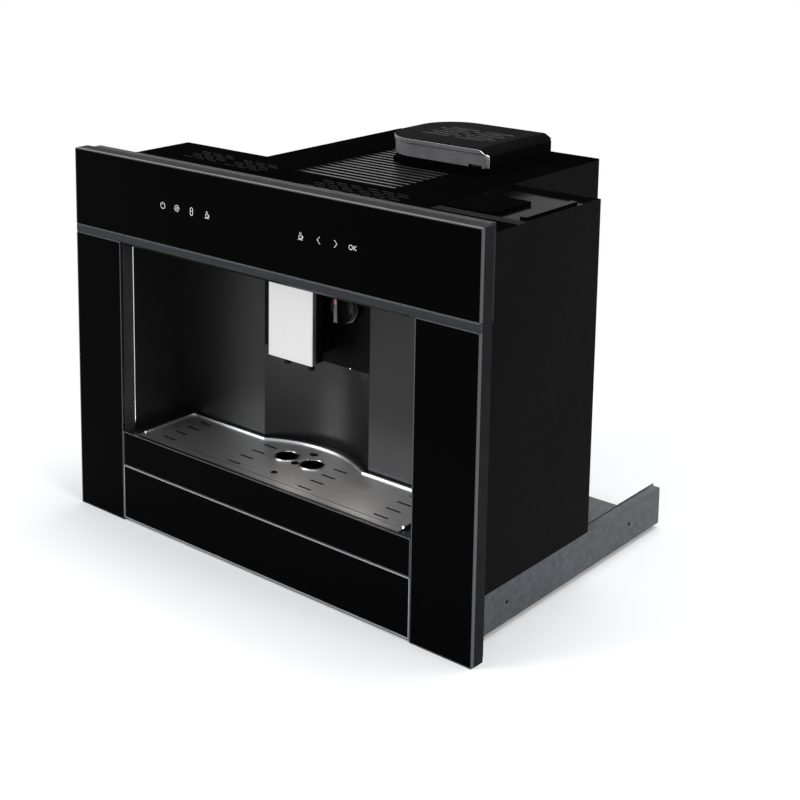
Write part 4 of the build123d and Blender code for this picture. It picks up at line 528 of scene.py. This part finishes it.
def settle(piece, name, material, body, smooth=35):
    """Names a finished piece, puts its place into its mesh and lets it ride on its body."""
    deselect()
    piece.select_set(True)
    bpy.context.view_layer.objects.active = piece
    bpy.ops.object.transform_apply(location=True, rotation=True, scale=True)
    if smooth:
        bpy.ops.object.shade_smooth_by_angle(angle=radians(smooth))
    piece.name = name
    piece.data.name = name
    piece.data.materials.clear()
    piece.data.materials.append(material)
    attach(piece, body)
    return piece


def finish_modifier(piece, kind, **settings):
    """Adds a modifier, sets it and applies it."""
    deselect()
    piece.select_set(True)
    bpy.context.view_layer.objects.active = piece
    made = piece.modifiers.new(kind.lower(), kind)
    for name, value in settings.items():
        setattr(made, name, value)
    bpy.ops.object.modifier_apply(modifier=made.name)


def join(pieces):
    """Joins copies of one piece into a single one."""
    deselect()
    for piece in pieces:
        piece.select_set(True)
    bpy.context.view_layer.objects.active = pieces[0]
    if len(pieces) > 1:
        bpy.ops.object.join()
    return bpy.context.object


def copy_at(piece, shift):
    """Copy of a piece with its own mesh, moved."""
    made = piece.copy()
    made.data = piece.data.copy()
    bpy.context.collection.objects.link(made)
    made.location = Vector(piece.location) + Vector(shift)
    return made


def edit(piece):
    """Opens one piece for editing with nothing selected in it."""
    deselect()
    piece.select_set(True)
    bpy.context.view_layer.objects.active = piece
    bpy.ops.object.mode_set(mode="EDIT")
    bpy.ops.mesh.select_mode(type="FACE")
    bpy.ops.mesh.select_all(action="DESELECT")


def pick(piece, test):
    """Opens a piece for editing with the faces selected whose middle and normal pass a test."""
    edit(piece)
    bpy.ops.object.mode_set(mode="OBJECT")
    for face in piece.data.polygons:
        face.select = bool(test(face.center, face.normal))
    bpy.ops.object.mode_set(mode="EDIT")


def done():
    bpy.ops.object.mode_set(mode="OBJECT")


def place_now(piece):
    """Puts a piece's place, turn and size into its mesh."""
    deselect()
    piece.select_set(True)
    bpy.context.view_layer.objects.active = piece
    bpy.ops.object.transform_apply(location=True, rotation=True, scale=True)


def coat(piece, material, test):
    """Gives the faces whose middle and normal pass a test a second finish."""
    piece.data.materials.append(material)
    last = len(piece.data.materials) - 1
    for face in piece.data.polygons:
        if test(face.center, face.normal):
            face.material_index = last


def block(x, d, z):
    """Cube stretched to these limits of x, depth and z in millimetres, to be shaped further."""
    bpy.ops.mesh.primitive_cube_add(size=1)
    made = bpy.context.object
    made.scale = ((x[1] - x[0]) * MM, (d[1] - d[0]) * MM, (z[1] - z[0]) * MM)
    made.location = ((x[0] + x[1]) / 2 * MM, back((d[0] + d[1]) / 2), (z[0] + z[1]) / 2 * MM)
    place_now(made)
    return made


def eased(node, body, width, segments=2, material=None, angle=32):
    """Copy of a CAD node whose sharp edges are rounded as a mould or a press leaves them."""
    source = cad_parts[node]
    piece = bpy.data.objects.new(node + "_eased", source.data.copy())
    bpy.context.collection.objects.link(piece)
    deselect()
    piece.select_set(True)
    bpy.context.view_layer.objects.active = piece
    bpy.ops.object.mode_set(mode="EDIT")
    bpy.ops.mesh.select_all(action="SELECT")
    bpy.ops.mesh.remove_doubles(threshold=2e-6)
    bpy.ops.mesh.dissolve_limited(angle_limit=radians(0.6))
    bpy.ops.object.mode_set(mode="OBJECT")
    finish_modifier(
        piece,
        "BEVEL",
        width=width * MM,
        segments=segments,
        limit_method="ANGLE",
        angle_limit=radians(angle),
        use_clamp_overlap=True,
    )
    bpy.ops.object.shade_smooth_by_angle(angle=radians(40))
    finish_modifier(piece, "WEIGHTED_NORMAL", keep_sharp=True)
    piece.data.name = piece.name
    if material:
        piece.data.materials.clear()
        piece.data.materials.append(material)
    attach(piece, body)
    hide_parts(node)
    return piece


EASED = {
    "housing": {
        "front_frame": 0.8,
        "left_cover": 0.8,
        "right_cover": 0.8,
        "top_cover": 0.4,
        "ribbed_pan": 0.4,
        "rear_cover": 0.4,
        "satin_bar": 0.5,
        "fascia_trim": 0.3,
        "column_trims": 0.3,
        "brew_head": 0.5,
        "bay_bead": 1.0,
        "rear_screws": 0.3,
        "bean_hopper": 0.6,
        "control_box": 0.8,
        "base_plate": 0.4,
        "runners_inner": 0.3,
        "power_inlet": 0.4,
    },
    "spout": {"spout_cover": 0.6, "spout_body": 0.5, "spout_outlets": 0.3},
    "hopper_lid": {"bean_lid": 1.2},
    "rocker": {"main_switch": 0.6},
    "tray": {"drip_tray": 0.5, "tray_front_trim": 0.3},
    "grille": {"drip_grille": 0.3},
    "drawer": {"grounds_drawer": 0.6, "drawer_front_trim": 0.3, "grounds_bin": 0.8},
    "tank": {"water_tank": 0.8},
    "filler_lid": {"tank_lid": 0.4},
    "middle_left": {"runner_middle_left": 0.3},
    "middle_right": {"runner_middle_right": 0.3},
    "outer_left": {"runner_outer_left": 0.3},
    "outer_right": {"runner_outer_right": 0.3},
}
dressed = {}
for body, widths in EASED.items():
    for node, width in widths.items():
        dressed[node] = eased(node, body, width, 2)

# inner sides of the bay's mouth, with painted light: a little lighter than the frame where light falls on them
coat(dressed["front_frame"], PALE_PAINTED_LIGHT, lambda c, n: abs(n.x) > 0.9 and abs(c.x) < 0.2225 and c.z > 0.115)

# ---------------------------------------------------------------- drip grille
GRILLE_UNDER = 113.0
GRILLE_TOP = 114.4


def in_slot(c, n):
    """Upright face of a slot or hole punched through the grille's plate, coloured with painted shade."""
    upright = abs(n.z) < 0.5 and (GRILLE_UNDER - 0.1) * MM < c.z < GRILLE_TOP * MM
    return upright and abs(c.x) < 0.19 and back(8) < c.y < back(105)


coat(dressed["drip_grille"], RIM_AND_PAINTED_GLINT, lambda c, n: c.z > (GRILLE_TOP + 0.1) * MM)
# painted shade: the slot walls near black
coat(dressed["drip_grille"], SLOT_PAINTED_SHADE, in_slot)


# ---------------------------------------------------------------- bean lid, vents and ribs
def front_painted_sheen(c, n):
    """Front faces of the lid's skirt, which get a painted sheen."""
    return abs(n.z) < 0.6 and n.y < -0.3 and n.x < 0.3 and c.y < back(330)


def corner_painted_glint(c, n):
    """Rounded front corner of the lid's skirt, on the right, which gets a painted glint."""
    return n.x > 0.3 and n.y < -0.3 and c.x > 0.118


def in_lid_vent(c, n):
    """Upright face of a vent slot in the lid's top, which gets a painted highlight."""
    return abs(n.z) < 0.5 and 0.461 < c.z < 0.471 and -0.02 < c.x < 0.112 and back(268) < c.y < back(385)


RIB_PITCH = 12.5
FIRST_RIB = 136.25  # depth of the middle of the first rib


def rib_top(c, n):
    """Top of a rib in the recess, told by its place in the row, which gets a painted highlight."""
    place = (c.y - back(FIRST_RIB)) / (RIB_PITCH * MM)
    return n.z > 0.9 and c.z > 0.436 and abs(place - round(place)) < 0.1


# painted sheen: grey on the front faces of the lid's skirt
coat(dressed["bean_lid"], SKIRT_PAINTED_SHEEN, front_painted_sheen)
# painted glint: polished metal on the lid's right front corner
coat(dressed["bean_lid"], RIM_AND_PAINTED_GLINT, corner_painted_glint)
# painted highlight: paler tone on the vent walls
coat(dressed["bean_lid"], PALE_PAINTED_LIGHT, in_lid_vent)


def slats(places, length, width, z, name, material, body):
    """Thin bars with soft edges, one in each vent, modelled once and copied; their lighter colour is a painted
    highlight.
    """
    first = block((-length / 2, length / 2), (-width / 2, width / 2), (z - 0.7, z))
    first.data.transform(Matrix.Translation((0, DEPTH / 2, 0)))
    finish_modifier(first, "BEVEL", width=0.2 * MM, segments=1, limit_method="ANGLE", angle_limit=radians(30))
    bars = [copy_at(first, (x * MM, back(d), 0)) for x, d in places]
    bpy.data.objects.remove(first)
    return settle(join(bars), name, material, body, 30)


TOP_GROUPS = ((-190.0, 125.0), (-115.0, 120.0), (30.0, 100.0), (95.0, 100.0))
LID_VENTS = [
    (48 + 25 * column + (5 if row % 2 else -5), 326.5 + 10 * (row - 2.5) + 0.7)
    for row in range(6)
    for column in (-1, 1)
]
# lighter bars in the lid's vents: painted highlight
slats(LID_VENTS, 40, 1.1, 470.9, "lid_vent_slats", PAINTED_HIGHLIGHT_LINE, "hopper_lid")
TOP_VENTS = [
    (x + 20 * column + (4 if row % 2 else -4), d + 8 * (row - 2) + 0.5)
    for x, d in TOP_GROUPS
    for row in range(5)
    for column in (-1, 0, 1)
]
# dimmer lighter bars in the top's vents: painted highlight
slats(TOP_VENTS, 15, 0.8, 439.9, "top_vent_slats", DIM_PAINTED_HIGHLIGHT, "housing")
# painted highlight along the rib tops
coat(dressed["ribbed_pan"], PAINTED_HIGHLIGHT_LINE, rib_top)

# ---------------------------------------------------------------- hot-water knob
KNOB_X, KNOB_Z, KNOB_R = 48.0, 303.5, 17.5
KNOB_AT = (KNOB_X * MM, back(97.3), KNOB_Z * MM)


def knob_disc():
    """Turned disc with a dished face and a rounded rim."""
    bpy.ops.mesh.primitive_cylinder_add(
        vertices=64, radius=KNOB_R * MM, depth=10.6 * MM, location=KNOB_AT, rotation=(pi / 2, 0, 0)
    )
    disc = bpy.context.object
    place_now(disc)
    pick(disc, lambda c, n: n.y < -0.9)
    bpy.ops.mesh.inset(thickness=2.2 * MM)
    bpy.ops.mesh.inset(thickness=0.7 * MM, depth=-1.4 * MM)
    bpy.ops.mesh.inset(thickness=4.0 * MM, depth=0.5 * MM)
    done()
    finish_modifier(disc, "BEVEL", width=0.6 * MM, segments=3, limit_method="ANGLE", angle_limit=radians(35))
    return disc


def grip_bar():
    """Upright bar that narrows to its top and to its front, with soft edges."""
    bar = block((KNOB_X - 5, KNOB_X + 5), (80.4, 93.5), (KNOB_Z - 15.5, KNOB_Z + 16))
    pick(bar, lambda c, n: n.z > 0.9)
    bpy.ops.transform.resize(value=(0.62, 1, 1))
    done()
    pick(bar, lambda c, n: n.y < -0.9)
    bpy.ops.transform.resize(value=(0.7, 1, 0.93))
    done()
    finish_modifier(bar, "BEVEL", width=0.9 * MM, segments=3, limit_method="ANGLE", angle_limit=radians(30))
    return bar


def strip(z, half, thickness=0.5):
    """Thin plate let into the front of the grip bar."""
    plate = block((KNOB_X - half, KNOB_X + half), (80.0, 80.0 + 2 * thickness), z)
    pick(plate, lambda c, n: n.z > 0.9)
    bpy.ops.transform.resize(value=(0.8, 1, 1))
    done()
    finish_modifier(plate, "BEVEL", width=0.3 * MM, segments=2, limit_method="ANGLE", angle_limit=radians(30))
    return plate


knob_dial = join([knob_disc(), grip_bar()])
settle(knob_dial, "knob_dial", ROCKER, "hot_water_knob", 40)
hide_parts("knob")
# grey strip on the grip's front, its tone a painted highlight
settle(strip((KNOB_Z - 13.5, KNOB_Z + 6.6), 2.5), "grip_painted_highlight", GRIP_PAINTED_HIGHLIGHT, "hot_water_knob", 30)
settle(strip((KNOB_Z + 7.0, KNOB_Z + 13.4), 1.9), "grip_mark", MARK, "hot_water_knob", 30)

bpy.ops.mesh.primitive_torus_add(
    major_segments=72,
    minor_segments=10,
    major_radius=18.05 * MM,
    minor_radius=0.62 * MM,
    location=(KNOB_X * MM, back(97.5), KNOB_Z * MM),
    rotation=(pi / 2, 0, 0),
)
bezel = bpy.context.object
bezel.scale = (1, 1, 3.6)
settle(bezel, "knob_bezel", CHROME, "hot_water_knob", 50)
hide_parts("knob_ring")

# ---------------------------------------------------------------- lips of the two cup holes
for side, x_hole in (("left", -19.5), ("right", 19.5)):
    bpy.ops.mesh.primitive_torus_add(
        major_segments=48,
        minor_segments=8,
        major_radius=14.2 * MM,
        minor_radius=0.9 * MM,
        location=(x_hole * MM, back(76), (GRILLE_TOP + 0.8) * MM),
    )
    lip = bpy.context.object
    lip.scale = (1, 1, 0.75)
    settle(lip, "cup_hole_lip_" + side, RIM_AND_PAINTED_GLINT, "grille", 50)


# ---------------------------------------------------------------- touch signs on the control glass
SIGN_FACE = back(0.3)  # front face of the glass
SIGN_T = 0.12 * MM


def stroke(points, width=0.75, closed=False, name="sign"):
    """Flat line along points of x and z in millimetres, as thick as print."""
    curve = bpy.data.curves.new(name, "CURVE")
    curve.dimensions = "3D"
    line = curve.splines.new("POLY")
    line.points.add(len(points) - 1)
    for point, (x, z) in zip(line.points, points):
        point.co = (x * MM, 0, z * MM, 1)
    line.use_cyclic_u = closed
    curve.bevel_depth = width * MM / 2
    curve.bevel_resolution = 1
    made = bpy.data.objects.new(name, curve)
    bpy.context.collection.objects.link(made)
    deselect()
    made.select_set(True)
    bpy.context.view_layer.objects.active = made
    bpy.ops.object.convert(target="MESH")
    made = bpy.context.object
    made.scale = (1, SIGN_T / (width * MM / 2), 1)
    deselect()
    made.select_set(True)
    bpy.context.view_layer.objects.active = made
    bpy.ops.object.transform_apply(location=False, rotation=False, scale=True)
    return made


def arc(x, z, radius, start, end, steps=18):
    """Points along an arc, in degrees from the right, anticlockwise."""
    span = [start + (end - start) * i / steps for i in range(steps + 1)]
    return [(x + radius * cos(radians(a)), z + radius * sin(radians(a))) for a in span]


def cup(x, z, steam):
    """Cup seen from the side with its handle, saucer and steam."""
    lines = [
        stroke([(x - 2.6, z + 0.4), (x + 2.0, z + 0.4), (x + 1.6, z - 2.6), (x - 2.2, z - 2.6)], closed=True),
        stroke(arc(x + 1.9, z - 0.9, 1.3, 80, -80, 8)),
        stroke([(x - 3.4, z - 3.8), (x + 2.8, z - 3.8)]),
    ]
    wisp = ((0, 1.4), (0.5, 2.3), (-0.3, 3.1), (0.3, 4.0))
    for shift in steam:
        lines.append(stroke([(x + shift + dx, z + dz) for dx, dz in wisp], 0.6))
    return lines


signs = []
signs += [stroke(arc(-144.5, 407.3, 3.5, 120, 420)), stroke([(-144.5, 408.2), (-144.5, 411.6)])]
gear = [
    (-121.4 + r * cos(2 * pi * k / 32), 407.5 + r * sin(2 * pi * k / 32))
    for k in range(32)
    for r in [3.9 if k % 4 in (0, 1) else 3.0]
]
signs += [stroke(gear, 0.6, True), stroke(arc(-121.4, 407.5, 1.3, 0, 360, 12), 0.6)]
signs += [
    stroke(arc(-97.7, 410.0, 1.9, 0, 180, 10) + arc(-97.7, 404.9, 1.9, 180, 360, 10), closed=True),
    stroke([(-99.4, 408.0), (-96.0, 408.0)], 0.6),
]
signs += cup(-72.9, 407.5, (-1.3, 0.5))
signs += cup(66.5, 407.5, (-1.3, 0.5))
signs += [stroke([(93.2, 411.4), (89.4, 407.5), (93.2, 403.6)], 0.7)]
signs += [stroke([(113.1, 411.4), (116.9, 407.5), (113.1, 403.6)], 0.7)]
signs += [
    stroke(arc(135.2, 407.5, 2.4, 0, 360, 16), 0.75),
    stroke([(139.4, 409.9), (139.4, 405.1)]),
    stroke([(142.6, 409.9), (139.6, 407.5), (142.7, 405.1)]),
]
touch_signs = join(signs)
touch_signs.location = (0, SIGN_FACE - SIGN_T, 0)
settle(touch_signs, "touch_signs", SIGN, "housing", 0)
